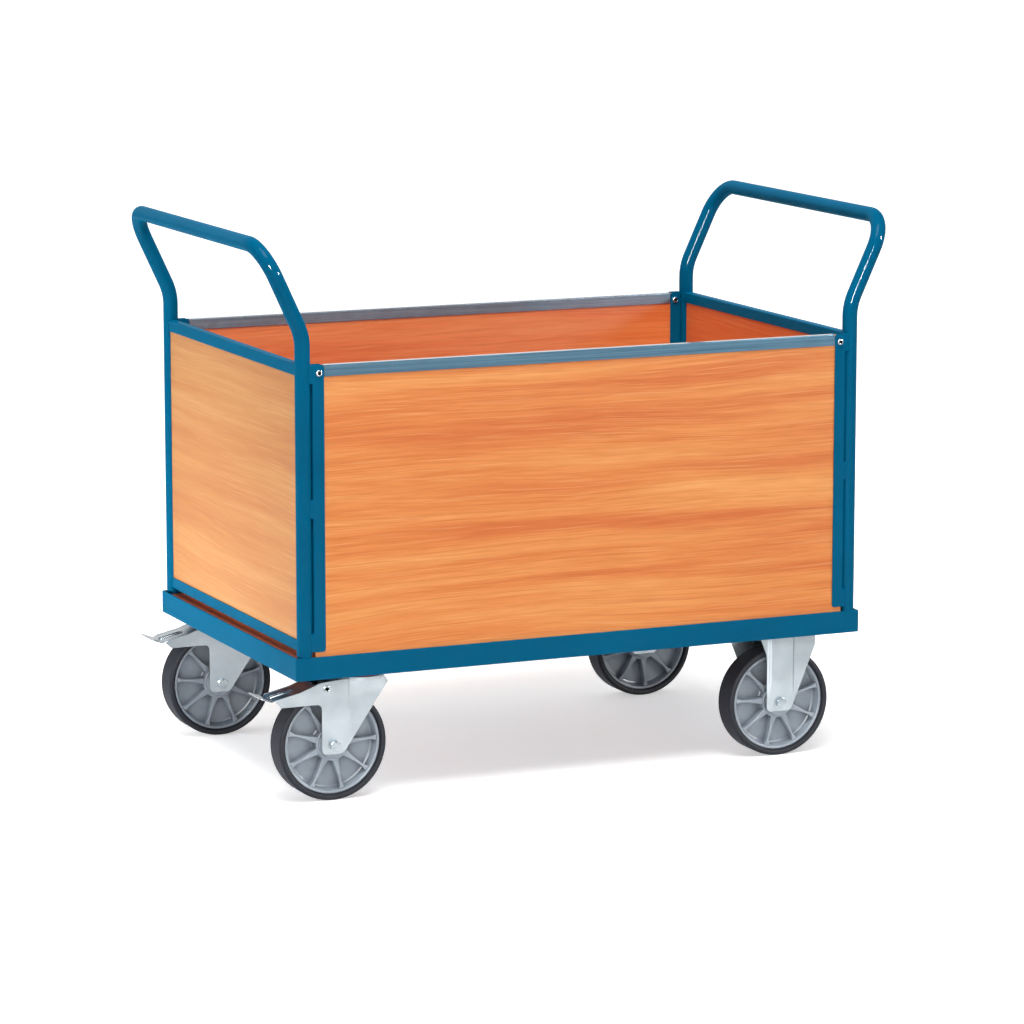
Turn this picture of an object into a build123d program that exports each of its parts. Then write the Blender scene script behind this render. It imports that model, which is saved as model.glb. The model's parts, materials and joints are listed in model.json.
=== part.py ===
from build123d import *
import os
from math import cos, radians, sin, tan

# Four-sided platform trolley: a steel platform on two swivel and two fixed castors, with a bent
# tube hoop at each end and board walls on all four sides.
# X runs along the length with the swivel castors at -X, Y across, Z up, origin on the floor under
# the middle of the platform. "left" is -X, "right" +X, "front" -Y and "back" +Y.

# Platform
platform_length = 1100.0
platform_width = 700.0
rim_height = 40.0
rim_wall = 4.0
rim_corner_radius = 5.0
rim_lip = 3.0
shelf_width = 30.0
shelf_thickness = 4.0
deck_thickness = 12.0
deck_gap = 3.0
cross_member_width = 164.0
cross_member_thickness = 4.0
cross_member_lip = 7.0

# Hoops
tube_radius = 13.5
tube_wall = 2.0
hoop_inset_x = 20.5
hoop_inset_y = 14.5
hoop_kink_height = 560.0
hoop_bar_height = 715.0
hoop_lean = 25.0
hoop_kink_radius = 95.0
hoop_corner_radius = 60.0
spigot_radius = 8.0
spigot_wall = 2.0
spigot_length = 34.0
foot_thickness = 5.0
socket_wall = 2.45
socket_clearance = 0.05

# Walls
panel_thickness = 12.0
panel_play = 0.2
wall_top = 510.0
bar_wall = 2.0
bar_height = 20.0
bottom_bar_gap = 11.0
panel_edge_gap = 1.0
channel_wall = 2.0
channel_width = 21.5
channel_foot_gap = 9.0
channel_set_back = 2.5
channel_corner_radius = 5.0
weld_gap = 0.2
weld_length = 33.0
weld_reach = 6.5
cap_wall = 1.3
cap_height = 20.0
cap_drop = 1.0
cap_end_gap = 0.6

# Wall screws
screw_radius = 3.0
screw_head_radius = 6.0
screw_head_height = 3.3
screw_head_round = 2.0
screw_socket = 4.0
screw_socket_depth = 1.8
screw_drop = 14.5
sleeve_radius = 4.0
thread_clearance = 0.05
screw_hole_clearance = 0.2

# Wheels
wheel_diameter = 200.0
tyre_width = 50.0
tyre_thickness = 11.3
tyre_shoulder = 7.0
rim_width = 40.0
rim_band = 8.0
web_thickness = 8.0
hub_radius = 30.0
hub_width = 56.0
hub_nose_radius = 24.0
hub_bore_radius = 9.0
spoke_count = 9
spoke_depth = 37.0
spoke_hub_width = 13.0
spoke_rim_width = 4.5
front_left_turn = 3.0
back_left_turn = 13.0
front_right_turn = 16.0
back_right_turn = 35.0
bearing_radius = 14.0
bearing_width = 8.0
bearing_inset = 0.5
axle_radius = 6.0
axle_clearance = 0.05
tyre_fit = 0.05

# Castors
castor_inset_x = 143.0
castor_inset_y = 65.0
castor_trail = 60.0
plate_length = 140.0
plate_width = 110.0
plate_thickness = 5.0
plate_corner_radius = 8.0
plate_bolt_spacing_x = 105.0
plate_bolt_spacing_y = 86.0
plate_bolt_radius = 4.0
plate_hole_clearance = 0.5
plate_bolt_head = 13.0
plate_bolt_head_height = 5.3
plate_nut_height = 6.5
leg_thickness = 3.0
leg_below_axle = 16.0
hub_play = 0.5
axle_head = 18.0
axle_head_height = 7.5
axle_nut_height = 10.0
axle_tail = 2.0

# Swivel head
wheel_headroom = 13.0
crown_thickness = 3.5
crown_radius = 43.0
head_height = 14.5
king_pin_radius = 7.0
king_pin_clearance = 0.05
king_pin_head_radius = 13.0
king_pin_head_height = 5.0
turning_gap = 0.4
ball_count = 12
ball_radius = 4.0
ball_circle_radius = 24.0
race_radius = 37.0
seal_outer_radius = 41.0
seal_inner_radius = 30.0
seal_height = 5.0

# Swivel fork, its arms measured back from the axle and down from the crown
leg_rear_width = 23.5
leg_toe = 16.0
leg_round = 9.0
leg_crease = 28.0
leg_crease_depth = 1.5
leg_head_reach = 42.0
leg_head_slope = 7.0
leg_head_depth = 10.0
leg_head_round = 3.0
arm_reach = 112.5
arm_tip_drop = 28.5
arm_knee_reach = 63.0
arm_knee_drop = 17.5
arm_root_reach = 25.0
arm_root_drop = 3.5
arm_under_drop = 42.0
arm_tip_set_back = 14.5
arm_tip_round = 4.0
arm_bend_radius = 25.0

# Brake, its pedal measured back from the axle
brake_pivot_back = 13.5
brake_pivot_drop = 15.5
rivet_radius = 5.0
rivet_wall = 1.5
rivet_head_radius = 6.5
rivet_head_height = 1.0
rivet_clearance = 0.05
pedal_thickness = 2.4
pedal_side_gap = 0.4
pedal_inner_reach = 33.0
pedal_sink = 0.5
pedal_flange_height = 9.0
pedal_ear_radius = 8.5
pedal_tip_gap = 3.0
pedal_tip_length = 22.0
pedal_tip_rise = 8.5
pedal_tip_width = 64.0
pedal_slot_length = 44.0
pedal_slot_width = 8.0
pedal_slot_lip = 2.0
pedal_slot_lip_height = 1.2
pedal_press_angle = 12.0
shoe_start_reach = 37.0
shoe_length = 24.0
shoe_width = 38.0
shoe_gap = 0.8

# Fixed fork
fixed_leg_side = 28.0
fixed_leg_flare = 45.0
fixed_leg_flare_drop = 45.0
fixed_leg_flare_radius = 40.0
fixed_leg_toe = 21.0
fixed_leg_wing_drop = 28.0
fixed_leg_wing_round = 6.0
fixed_panel_width = 46.0
fixed_panel_depth = 5.0
fixed_panel_above_axle = 20.0

# Heights, from the floor up
axle_height = wheel_diameter / 2
crown_under = wheel_diameter + wheel_headroom
crown_top = crown_under + crown_thickness
plate_under = crown_top + head_height
plate_top = plate_under + plate_thickness
cross_member_top = plate_top + cross_member_thickness
shelf_under = cross_member_top + cross_member_lip
deck_under = shelf_under + shelf_thickness
deck_top = deck_under + deck_thickness
rim_top = deck_top + rim_lip
rim_bottom = rim_top - rim_height
wall_height = rim_top + wall_top

# Places that several pieces share
inner_length = platform_length - 2 * rim_wall
inner_width = platform_width - 2 * rim_wall
hoop_x = platform_length / 2 - hoop_inset_x
hoop_y = platform_width / 2 - hoop_inset_y
castor_x = platform_length / 2 - castor_inset_x
castor_y = platform_width / 2 - castor_inset_y
socket_radius = spigot_radius + socket_clearance + socket_wall
rim_radius = wheel_diameter / 2 - tyre_thickness
foot_z = axle_height - leg_below_axle
fixed_panel_foot = axle_height + fixed_panel_above_axle
brake_pivot_x = -castor_trail - brake_pivot_back
brake_pivot_z = crown_top - brake_pivot_drop
fork_gap = hub_width + 2 * hub_play
fork_width = fork_gap + 2 * leg_thickness
pedal_half_width = fork_gap / 2 - pedal_side_gap
panel_slot = panel_thickness + 2 * panel_play
bar_depth = panel_slot + 2 * bar_wall
channel_depth = panel_slot + 2 * channel_wall
channel_outer_x = hoop_x - tube_radius - weld_gap
channel_inner_x = channel_outer_x - channel_width
channel_outer_y = platform_width / 2 - channel_set_back
channel_inner_y = channel_outer_y - channel_depth
side_panel_y = (channel_outer_y + channel_inner_y) / 2
screw_x = (channel_outer_x - channel_wall + channel_inner_x) / 2
screw_z = wall_height - screw_drop

ends = {"left": -1, "right": 1}
sides = {"front": -1, "back": 1}

os.makedirs("parts", exist_ok=True)


def save(builder, node):
    builder.part.label = node
    export_step(builder.part, "parts/" + node + ".step")


def level(x, y, z):
    # A horizontal plane, X and Y as in the trolley's frame.
    return Plane(origin=(x, y, z))


def upright(x, y):
    # A lengthwise vertical plane at floor level: X stays, its Y is height, its normal is -Y.
    return Plane(origin=(x, y, 0), x_dir=(1, 0, 0), z_dir=(0, -1, 0))


def across(x, y):
    # A crosswise vertical plane at floor level: its X is the trolley's Y, its Y is height.
    return Plane(origin=(x, y, 0), x_dir=(0, 1, 0), z_dir=(1, 0, 0))


def outline(points, radii):
    # The face inside a closed outline, with a rounding given for each corner.
    with BuildLine() as edge:
        FilletPolyline(*points, radius=radii, close=True)
    make_face(edge.edges())


# Rails: the outer wall and the shelf that carries the deck, mitred where two rails meet.
def rail(node, corner_a, corner_b):
    mitre_reach = rim_wall + shelf_width
    with BuildPart() as piece:
        with BuildSketch(level(0, 0, rim_bottom)):
            RectangleRounded(platform_length, platform_width, rim_corner_radius)
            Rectangle(inner_length, inner_width, mode=Mode.SUBTRACT)
            mitred(corner_a, corner_b, mitre_reach)
        extrude(amount=rim_height)
        with BuildSketch(level(0, 0, shelf_under)):
            Rectangle(inner_length, inner_width)
            Rectangle(inner_length - 2 * shelf_width, inner_width - 2 * shelf_width, mode=Mode.SUBTRACT)
            mitred(corner_a, corner_b, mitre_reach)
        extrude(amount=shelf_thickness)
        with BuildSketch(level(0, 0, shelf_under)):
            with GridLocations(2 * hoop_x, 2 * hoop_y, 2, 2):
                Circle(socket_radius)
        extrude(amount=shelf_thickness, mode=Mode.SUBTRACT)
    save(piece, node)


def mitred(corner_a, corner_b, reach):
    # Keeps the part of a ring sketch between the mitres at two neighbouring corners.
    inner_a = (corner_a[0] - reach * sign(corner_a[0]), corner_a[1] - reach * sign(corner_a[1]))
    inner_b = (corner_b[0] - reach * sign(corner_b[0]), corner_b[1] - reach * sign(corner_b[1]))
    Polygon(corner_a, corner_b, inner_b, inner_a, align=None, mode=Mode.INTERSECT)


def sign(value):
    return 1 if value > 0 else -1


for side_name, side in sides.items():
    rail_y = side * platform_width / 2
    rail(side_name + "_rail", (-platform_length / 2, rail_y), (platform_length / 2, rail_y))
for end_name, end in ends.items():
    rail_x = end * platform_length / 2
    rail(end_name + "_rail", (rail_x, -platform_width / 2), (rail_x, platform_width / 2))

# Cross members: shallow upturned channels under the shelves, two of them drilled for the castors.
with BuildPart() as cross_members:
    for centre_x in (-castor_x, 0, castor_x):
        with BuildSketch(level(centre_x, 0, plate_top)):
            Rectangle(cross_member_width, inner_width)
        extrude(amount=cross_member_thickness)
        with BuildSketch(level(centre_x, 0, cross_member_top)):
            Rectangle(cross_member_width, inner_width)
            Rectangle(cross_member_width - 2 * cross_member_thickness, inner_width, mode=Mode.SUBTRACT)
        extrude(amount=cross_member_lip)
    with BuildSketch(level(0, 0, plate_top)):
        with GridLocations(2 * castor_x, 2 * castor_y, 2, 2):
            with GridLocations(plate_bolt_spacing_x, plate_bolt_spacing_y, 2, 2):
                Circle(plate_bolt_radius + plate_hole_clearance)
    extrude(amount=cross_member_thickness, mode=Mode.SUBTRACT)
save(cross_members, "cross_members")

# Sockets: short tubes in the frame's corners for the feet of the hoops.
with BuildPart() as hoop_sockets:
    with BuildSketch(level(0, 0, rim_bottom)):
        with GridLocations(2 * hoop_x, 2 * hoop_y, 2, 2):
            Circle(socket_radius)
            Circle(spigot_radius + socket_clearance, mode=Mode.SUBTRACT)
    extrude(amount=rim_height)
save(hoop_sockets, "hoop_sockets")

# Deck: one board on the shelves, notched at the corners for the sockets.
with BuildPart() as deck_board:
    deck_length = inner_length - 2 * deck_gap
    deck_width = inner_width - 2 * deck_gap
    notch_x = hoop_x - socket_radius - deck_gap
    notch_y = hoop_y - socket_radius - deck_gap
    with BuildSketch(level(0, 0, deck_under)):
        Rectangle(deck_length, 2 * notch_y)
        Rectangle(2 * notch_x, deck_width)
    extrude(amount=deck_thickness)
save(deck_board, "deck_board")


# Hoops: one bent tube with a kink in each leg and a reduced foot that plugs into its socket.
def hoop(node, end):
    kink_z = rim_top + hoop_kink_height
    bar_z = rim_top + hoop_bar_height
    bar_x = hoop_x + (bar_z - kink_z) * tan(radians(hoop_lean))
    with BuildPart() as piece:
        with BuildLine() as path:
            FilletPolyline(
                (end * hoop_x, -hoop_y, rim_top),
                (end * hoop_x, -hoop_y, kink_z),
                (end * bar_x, -hoop_y, bar_z),
                (end * bar_x, hoop_y, bar_z),
                (end * hoop_x, hoop_y, kink_z),
                (end * hoop_x, hoop_y, rim_top),
                radius=(hoop_kink_radius, hoop_corner_radius, hoop_corner_radius, hoop_kink_radius),
            )
        with BuildSketch(level(end * hoop_x, -hoop_y, rim_top)):
            Circle(tube_radius)
            Circle(tube_radius - tube_wall, mode=Mode.SUBTRACT)
        sweep(path=path.wires()[0])
        for side in sides.values():
            with BuildSketch(level(end * hoop_x, side * hoop_y, rim_top)):
                Circle(tube_radius)
                Circle(spigot_radius - spigot_wall, mode=Mode.SUBTRACT)
            extrude(amount=foot_thickness)
            with BuildSketch(level(end * hoop_x, side * hoop_y, rim_top)):
                Circle(spigot_radius)
                Circle(spigot_radius - spigot_wall, mode=Mode.SUBTRACT)
            extrude(amount=-spigot_length)
    save(piece, node)


for end_name, end in ends.items():
    hoop(end_name + "_hoop", end)


# End bars: two U-bars welded between the legs of a hoop, open towards each other.
def end_bars(node, end):
    bottom = deck_top + bottom_bar_gap
    top_bar = wall_height - bar_height
    with BuildPart() as piece:
        for base, slot_base in ((top_bar, top_bar), (bottom, bottom + bar_wall)):
            with BuildSketch(level(end * hoop_x, 0, base)):
                Rectangle(bar_depth, 2 * hoop_y)
            extrude(amount=bar_height)
            with BuildSketch(level(end * hoop_x, 0, slot_base)):
                Rectangle(panel_slot, 2 * hoop_y)
            extrude(amount=bar_height - bar_wall, mode=Mode.SUBTRACT)
        with BuildSketch(level(end * hoop_x, 0, bottom)):
            with GridLocations(0, 2 * hoop_y, 1, 2):
                Circle(tube_radius + weld_gap)
        extrude(amount=wall_height - bottom, mode=Mode.SUBTRACT)
    save(piece, node)


# End panels: boards that stand in the slots of the two bars.
def end_panel(node, end):
    panel_bottom = deck_top + bottom_bar_gap + bar_wall + panel_play
    panel_top = wall_height - bar_wall - panel_play
    with BuildPart() as piece:
        with BuildSketch(level(end * hoop_x, 0, panel_bottom)):
            Rectangle(panel_thickness, 2 * (hoop_y - tube_radius - panel_edge_gap))
        extrude(amount=panel_top - panel_bottom)
    save(piece, node)


# Upright channels: U-sections that hold the ends of the side panels, each joined to its hoop leg by
# three short welds.
def hoop_channels(node, end):
    bottom = rim_top + channel_foot_gap
    weld_starts = (bottom, (bottom + wall_height - weld_length) / 2, wall_height - weld_length)
    centre_x = end * (channel_outer_x + channel_inner_x) / 2
    slot_x = end * (channel_outer_x - channel_wall + channel_inner_x) / 2
    with BuildPart() as piece:
        for side in sides.values():
            with BuildSketch(level(centre_x, side * side_panel_y, bottom)):
                Rectangle(channel_width, channel_depth)
            extrude(amount=wall_height - bottom)
        free_edges = piece.edges().filter_by(Axis.Y).filter_by(
            lambda edge: abs(abs(edge.center().X) - channel_inner_x) < weld_gap
        )
        fillet(free_edges, channel_corner_radius)
        for side in sides.values():
            with BuildSketch(level(slot_x, side * side_panel_y, bottom)):
                Rectangle(channel_width - channel_wall, panel_slot)
            extrude(amount=wall_height - bottom, mode=Mode.SUBTRACT)
            for start in weld_starts:
                with BuildSketch(level(end * channel_outer_x, side * hoop_y, start)):
                    weld_depth = channel_outer_y - hoop_y - weld_gap
                    with Locations((end * weld_reach / 2, side * weld_depth / 2)):
                        Rectangle(weld_reach, weld_depth)
                    with Locations((end * (tube_radius + weld_gap), 0)):
                        Circle(tube_radius + weld_gap / 2, mode=Mode.SUBTRACT)
                extrude(amount=weld_length)
            with BuildSketch(upright(end * screw_x, side * channel_outer_y)):
                with Locations((0, screw_z)):
                    Circle(screw_radius + screw_hole_clearance)
            extrude(amount=side * channel_wall, mode=Mode.SUBTRACT)
            with BuildSketch(upright(end * screw_x, side * channel_inner_y)):
                with Locations((0, screw_z)):
                    Circle(sleeve_radius + screw_hole_clearance)
            extrude(amount=-side * channel_wall, mode=Mode.SUBTRACT)
    save(piece, node)


for end_name, end in ends.items():
    end_bars(end_name + "_end_bars", end)
    end_panel(end_name + "_end_panel", end)
    hoop_channels(end_name + "_hoop_channels", end)


# Side panels: boards that stand on the deck with their ends in the upright channels.
def side_panel(node, side):
    half_length = channel_outer_x - channel_wall - panel_edge_gap
    panel_top = wall_height - cap_drop - cap_wall - panel_play
    with BuildPart() as piece:
        with BuildSketch(level(0, side * side_panel_y, deck_top)):
            Rectangle(2 * half_length, panel_thickness)
        extrude(amount=panel_top - deck_top)
        with BuildSketch(upright(0, side * side_panel_y)):
            with Locations((-screw_x, screw_z), (screw_x, screw_z)):
                Circle(sleeve_radius + screw_hole_clearance)
        extrude(amount=panel_thickness, both=True, mode=Mode.SUBTRACT)
    save(piece, node)


# Caps: galvanised U-strips over the top edges of the side panels, between the channels.
def side_cap(node, side):
    half_length = channel_inner_x - cap_end_gap
    top = wall_height - cap_drop
    with BuildPart() as piece:
        with BuildSketch(level(0, side * side_panel_y, top - cap_height)):
            Rectangle(2 * half_length, panel_slot + 2 * cap_wall)
        extrude(amount=cap_height)
        with BuildSketch(level(0, side * side_panel_y, top - cap_height)):
            Rectangle(2 * half_length, panel_slot)
        extrude(amount=cap_height - cap_wall, mode=Mode.SUBTRACT)
    save(piece, node)


for side_name, side in sides.items():
    side_panel(side_name + "_panel", side)
    side_cap(side_name + "_cap", side)


# Wall screws: a socket-head screw from outside into a sleeve nut with a like head inside.
def wall_fasteners(node, face_y, facing, shank_radius, shank_length, bore_radius):
    # face_y is the channel face that the heads bear on, facing is 1 for outwards and -1 for inwards.
    head_top = screw_head_height - screw_socket_depth
    with BuildPart() as piece:
        for end in ends.values():
            for side in sides.values():
                outward = facing * side
                with BuildSketch(upright(end * screw_x, side * face_y)):
                    with Locations((0, screw_z)):
                        Circle(screw_head_radius)
                extrude(amount=-outward * screw_head_height)
                with BuildSketch(upright(end * screw_x, side * face_y + outward * head_top)):
                    with Locations((0, screw_z)):
                        RegularPolygon(screw_socket / 2, 6, major_radius=False)
                extrude(amount=-outward * screw_socket_depth, mode=Mode.SUBTRACT)
                with BuildSketch(upright(end * screw_x, side * face_y)):
                    with Locations((0, screw_z)):
                        Circle(shank_radius)
                        if bore_radius:
                            Circle(bore_radius, mode=Mode.SUBTRACT)
                extrude(amount=outward * shank_length)
        rims = piece.edges().filter_by(GeomType.CIRCLE).filter_by(
            lambda edge: abs(edge.radius - screw_head_radius) < thread_clearance
        )
        outer_rims = rims.filter_by(lambda edge: abs(abs(edge.center().Y) - face_y) > screw_socket_depth)
        fillet(outer_rims, screw_head_round)
    save(piece, node)


wall_fasteners("wall_screws", channel_outer_y, 1, screw_radius, channel_depth - channel_wall, 0)
wall_fasteners(
    "sleeve_nuts", channel_inner_y, -1, sleeve_radius, channel_depth - channel_wall - panel_play,
    screw_radius + thread_clearance,
)

# Castor bolts: heads under the castor plates, nuts on the cross members.
with BuildPart() as plate_bolts:
    with BuildSketch(level(0, 0, plate_under)):
        with GridLocations(2 * castor_x, 2 * castor_y, 2, 2):
            with GridLocations(plate_bolt_spacing_x, plate_bolt_spacing_y, 2, 2):
                RegularPolygon(plate_bolt_head / 2, 6, major_radius=False)
    extrude(amount=-plate_bolt_head_height)
    with BuildSketch(level(0, 0, plate_under)):
        with GridLocations(2 * castor_x, 2 * castor_y, 2, 2):
            with GridLocations(plate_bolt_spacing_x, plate_bolt_spacing_y, 2, 2):
                Circle(plate_bolt_radius)
    extrude(amount=plate_thickness + cross_member_thickness + plate_nut_height)
save(plate_bolts, "plate_bolts")

with BuildPart() as plate_nuts:
    with BuildSketch(level(0, 0, cross_member_top)):
        with GridLocations(2 * castor_x, 2 * castor_y, 2, 2):
            with GridLocations(plate_bolt_spacing_x, plate_bolt_spacing_y, 2, 2):
                RegularPolygon(plate_bolt_head / 2, 6, major_radius=False)
                Circle(plate_bolt_radius + thread_clearance, mode=Mode.SUBTRACT)
    extrude(amount=plate_nut_height)
save(plate_nuts, "plate_nuts")


def castor_plate_face():
    # The face of a castor's top plate with its four bolt holes, in a level sketch.
    RectangleRounded(plate_length, plate_width, plate_corner_radius)
    with GridLocations(plate_bolt_spacing_x, plate_bolt_spacing_y, 2, 2):
        Circle(plate_bolt_radius + plate_hole_clearance, mode=Mode.SUBTRACT)


# Swivel heads: the bolted plate with its race, the king pin that carries the fork, the ring of balls
# on the fork's crown and the dust seal round them.
def swivel_head(side_name, x, y):
    race_under = crown_top + 2 * ball_radius + turning_gap
    with BuildPart() as plate:
        with BuildSketch(level(x, y, plate_under)):
            castor_plate_face()
            Circle(king_pin_radius + king_pin_clearance, mode=Mode.SUBTRACT)
        extrude(amount=plate_thickness)
        with BuildSketch(level(x, y, race_under)):
            Circle(race_radius)
            Circle(king_pin_radius + king_pin_clearance, mode=Mode.SUBTRACT)
        extrude(amount=plate_under - race_under)
    save(plate, side_name + "_swivel_plate")

    with BuildPart() as king_pin:
        with BuildSketch(level(x, y, crown_under - turning_gap)):
            Circle(king_pin_head_radius)
        extrude(amount=-king_pin_head_height)
        with BuildSketch(level(x, y, crown_under - turning_gap)):
            Circle(king_pin_radius)
        extrude(amount=plate_top - crown_under + turning_gap)
    save(king_pin, side_name + "_king_pin")

    with BuildPart() as balls:
        with Locations((x, y, crown_top + ball_radius)):
            with PolarLocations(ball_circle_radius, ball_count):
                Sphere(ball_radius)
    save(balls, side_name + "_swivel_balls")

    with BuildPart() as seal:
        with BuildSketch(level(x, y, crown_top)):
            Circle(seal_outer_radius)
            Circle(seal_inner_radius, mode=Mode.SUBTRACT)
        extrude(amount=seal_height)
    save(seal, side_name + "_dust_seal")


# Swivel forks: a pressed crown and two legs with arms that run back over the wheel. Ahead of a crease
# each leg steps inwards.
def swivel_fork(node, x, y):
    heel_x = -castor_trail - leg_rear_width
    arm_under_z = crown_top - arm_under_drop
    crease_x = leg_crease - castor_trail
    leg_points = (
        (-castor_trail - arm_reach, crown_top - arm_tip_drop),
        (-castor_trail - arm_knee_reach, crown_top - arm_knee_drop),
        (-castor_trail - arm_root_reach, crown_top - arm_root_drop),
        (-crown_radius, crown_top),
        (leg_head_reach - leg_head_slope, crown_top),
        (leg_head_reach, crown_top - leg_head_depth),
        (leg_toe - castor_trail, foot_z),
        (heel_x, foot_z),
        (heel_x, arm_under_z),
        (arm_tip_set_back - castor_trail - arm_reach, arm_under_z),
    )
    leg_radii = (
        arm_tip_round, arm_bend_radius, arm_bend_radius, arm_bend_radius, leg_head_round,
        leg_head_round, leg_round, leg_round, leg_round, arm_tip_round,
    )
    with BuildPart() as piece:
        with BuildSketch(level(x, y, crown_under)):
            Circle(crown_radius)
            Circle(king_pin_radius + king_pin_clearance, mode=Mode.SUBTRACT)
        extrude(amount=crown_thickness)
        for leg in sides.values():
            with BuildSketch(upright(x, y + leg * fork_gap / 2)):
                outline(leg_points, leg_radii)
                with Locations((crease_x, 0)):
                    Rectangle(
                        arm_reach + leg_crease, crown_top, align=(Align.MAX, Align.MIN), mode=Mode.INTERSECT,
                    )
            extrude(amount=-leg * leg_thickness)
            with BuildSketch(upright(x, y + leg * (fork_gap / 2 - leg_crease_depth))):
                outline(leg_points, leg_radii)
                with Locations((crease_x, 0)):
                    Rectangle(leg_head_reach - crease_x, crown_top, align=Align.MIN, mode=Mode.INTERSECT)
            extrude(amount=-leg * leg_thickness)
        with BuildSketch(upright(x, y)):
            with Locations((-castor_trail, axle_height)):
                Circle(axle_radius + axle_clearance)
            with Locations((brake_pivot_x, brake_pivot_z)):
                Circle(rivet_radius + rivet_clearance)
        extrude(amount=fork_width, both=True, mode=Mode.SUBTRACT)
    save(piece, node)


def arm_top(reach):
    # Height of the arms' top edge at a distance behind the axle.
    if reach < arm_knee_reach:
        slope = (arm_knee_drop - arm_root_drop) / (arm_knee_reach - arm_root_reach)
        return crown_top - arm_root_drop - slope * (reach - arm_root_reach)
    slope = (arm_tip_drop - arm_knee_drop) / (arm_reach - arm_knee_reach)
    return crown_top - arm_knee_drop - slope * (reach - arm_knee_reach)


def pedal_top(reach):
    # A point on the pedal's top face, which lies just below the arms' top edges.
    return (-castor_trail - reach, arm_top(reach) - pedal_sink)


def lowered(point, drop):
    return (point[0], point[1] - drop)


# Brake pedals: a plate between the arms, flanged down its sides, with a lipped slot, a wide upturned
# tip and two ears that turn on the brake rivets.
def brake_pedal(node, x, y):
    inner = pedal_top(pedal_inner_reach)
    knee = pedal_top(arm_knee_reach)
    tip_root = pedal_top(arm_reach + pedal_tip_gap)
    tip = (tip_root[0] - pedal_tip_length, tip_root[1] + pedal_tip_rise)
    flange_end = pedal_top(arm_reach - arm_tip_set_back)
    ear_centre = (brake_pivot_x, brake_pivot_z)
    slot_plane = Plane(
        origin=(x + (knee[0] + tip_root[0]) / 2, y, (knee[1] + tip_root[1]) / 2),
        x_dir=(knee[0] - tip_root[0], 0, knee[1] - tip_root[1]),
        z_dir=(tip_root[1] - knee[1], 0, knee[0] - tip_root[0]),
    )
    with BuildPart() as piece:
        with BuildSketch(upright(x, y)):
            Polygon(
                inner, knee, tip_root, lowered(tip_root, pedal_thickness), lowered(knee, pedal_thickness),
                lowered(inner, pedal_thickness), align=None,
            )
        extrude(amount=pedal_half_width, both=True)
        with BuildSketch(upright(x, y)):
            Polygon(
                tip_root, tip, lowered(tip, pedal_thickness), lowered(tip_root, pedal_thickness), align=None,
            )
        extrude(amount=pedal_tip_width / 2, both=True)
        for flange in sides.values():
            with BuildSketch(upright(x, y + flange * pedal_half_width)):
                Polygon(
                    lowered(ear_centre, -pedal_ear_radius), inner, knee, flange_end,
                    lowered(flange_end, pedal_flange_height), lowered(knee, pedal_flange_height),
                    lowered(ear_centre, pedal_ear_radius), align=None,
                )
                with Locations(ear_centre):
                    Circle(pedal_ear_radius)
                    Circle(rivet_radius + rivet_clearance, mode=Mode.SUBTRACT)
            extrude(amount=flange * pedal_thickness)
        with BuildSketch(slot_plane):
            SlotOverall(pedal_slot_length + 2 * pedal_slot_lip, pedal_slot_width + 2 * pedal_slot_lip)
        extrude(amount=pedal_slot_lip_height)
        with BuildSketch(slot_plane):
            SlotOverall(pedal_slot_length, pedal_slot_width)
        extrude(amount=2 * pedal_thickness, both=True, mode=Mode.SUBTRACT)
    save(piece, node)


# Brake rivets: short hollow rivets, fixed in the fork's legs, that the pedal turns on.
def brake_rivets(node, x, y):
    inner_end = pedal_half_width - pedal_thickness
    with BuildPart() as piece:
        for leg in sides.values():
            with BuildSketch(upright(x, y + leg * inner_end)):
                with Locations((brake_pivot_x, brake_pivot_z)):
                    Circle(rivet_radius)
                    Circle(rivet_radius - rivet_wall, mode=Mode.SUBTRACT)
            extrude(amount=-leg * (fork_width / 2 - inner_end))
            with BuildSketch(upright(x, y + leg * fork_width / 2)):
                with Locations((brake_pivot_x, brake_pivot_z)):
                    Circle(rivet_head_radius)
                    Circle(rivet_radius - rivet_wall, mode=Mode.SUBTRACT)
            extrude(amount=-leg * rivet_head_height)
    save(piece, node)


# Brake shoes: blocks under the pedals, hollowed so that they lie along the tread when the pedal is down.
def brake_shoe(node, x, y):
    press = radians(pedal_press_angle)
    axle_drop = axle_height - brake_pivot_z
    tread_x = brake_pivot_x + brake_pivot_back * cos(press) + axle_drop * sin(press)
    tread_z = brake_pivot_z - brake_pivot_back * sin(press) + axle_drop * cos(press)
    top_front = lowered(pedal_top(shoe_start_reach), pedal_thickness)
    top_back = lowered(pedal_top(shoe_start_reach + shoe_length), pedal_thickness)
    with BuildPart() as piece:
        with BuildSketch(upright(x, y)):
            Polygon(top_front, top_back, (top_back[0], axle_height), (top_front[0], axle_height), align=None)
            with Locations((tread_x, tread_z)):
                Circle(wheel_diameter / 2 + shoe_gap, mode=Mode.SUBTRACT)
        extrude(amount=shoe_width / 2, both=True)
    save(piece, node)


# Axle bolts and their nuts, heads towards the front.
def axle_bolts(node, places):
    with BuildPart() as piece:
        for x, y in places:
            with BuildSketch(upright(x, y - fork_width / 2)):
                with Locations((0, axle_height)):
                    RegularPolygon(axle_head / 2, 6, major_radius=False)
            extrude(amount=axle_head_height)
            with BuildSketch(upright(x, y - fork_width / 2)):
                with Locations((0, axle_height)):
                    Circle(axle_radius)
            extrude(amount=-(fork_width + axle_nut_height + axle_tail))
    save(piece, node)


def axle_nuts(node, places):
    with BuildPart() as piece:
        for x, y in places:
            with BuildSketch(upright(x, y + fork_width / 2)):
                with Locations((0, axle_height)):
                    RegularPolygon(axle_head / 2, 6, major_radius=False)
                    Circle(axle_radius + thread_clearance, mode=Mode.SUBTRACT)
            extrude(amount=-axle_nut_height)
    save(piece, node)


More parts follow.
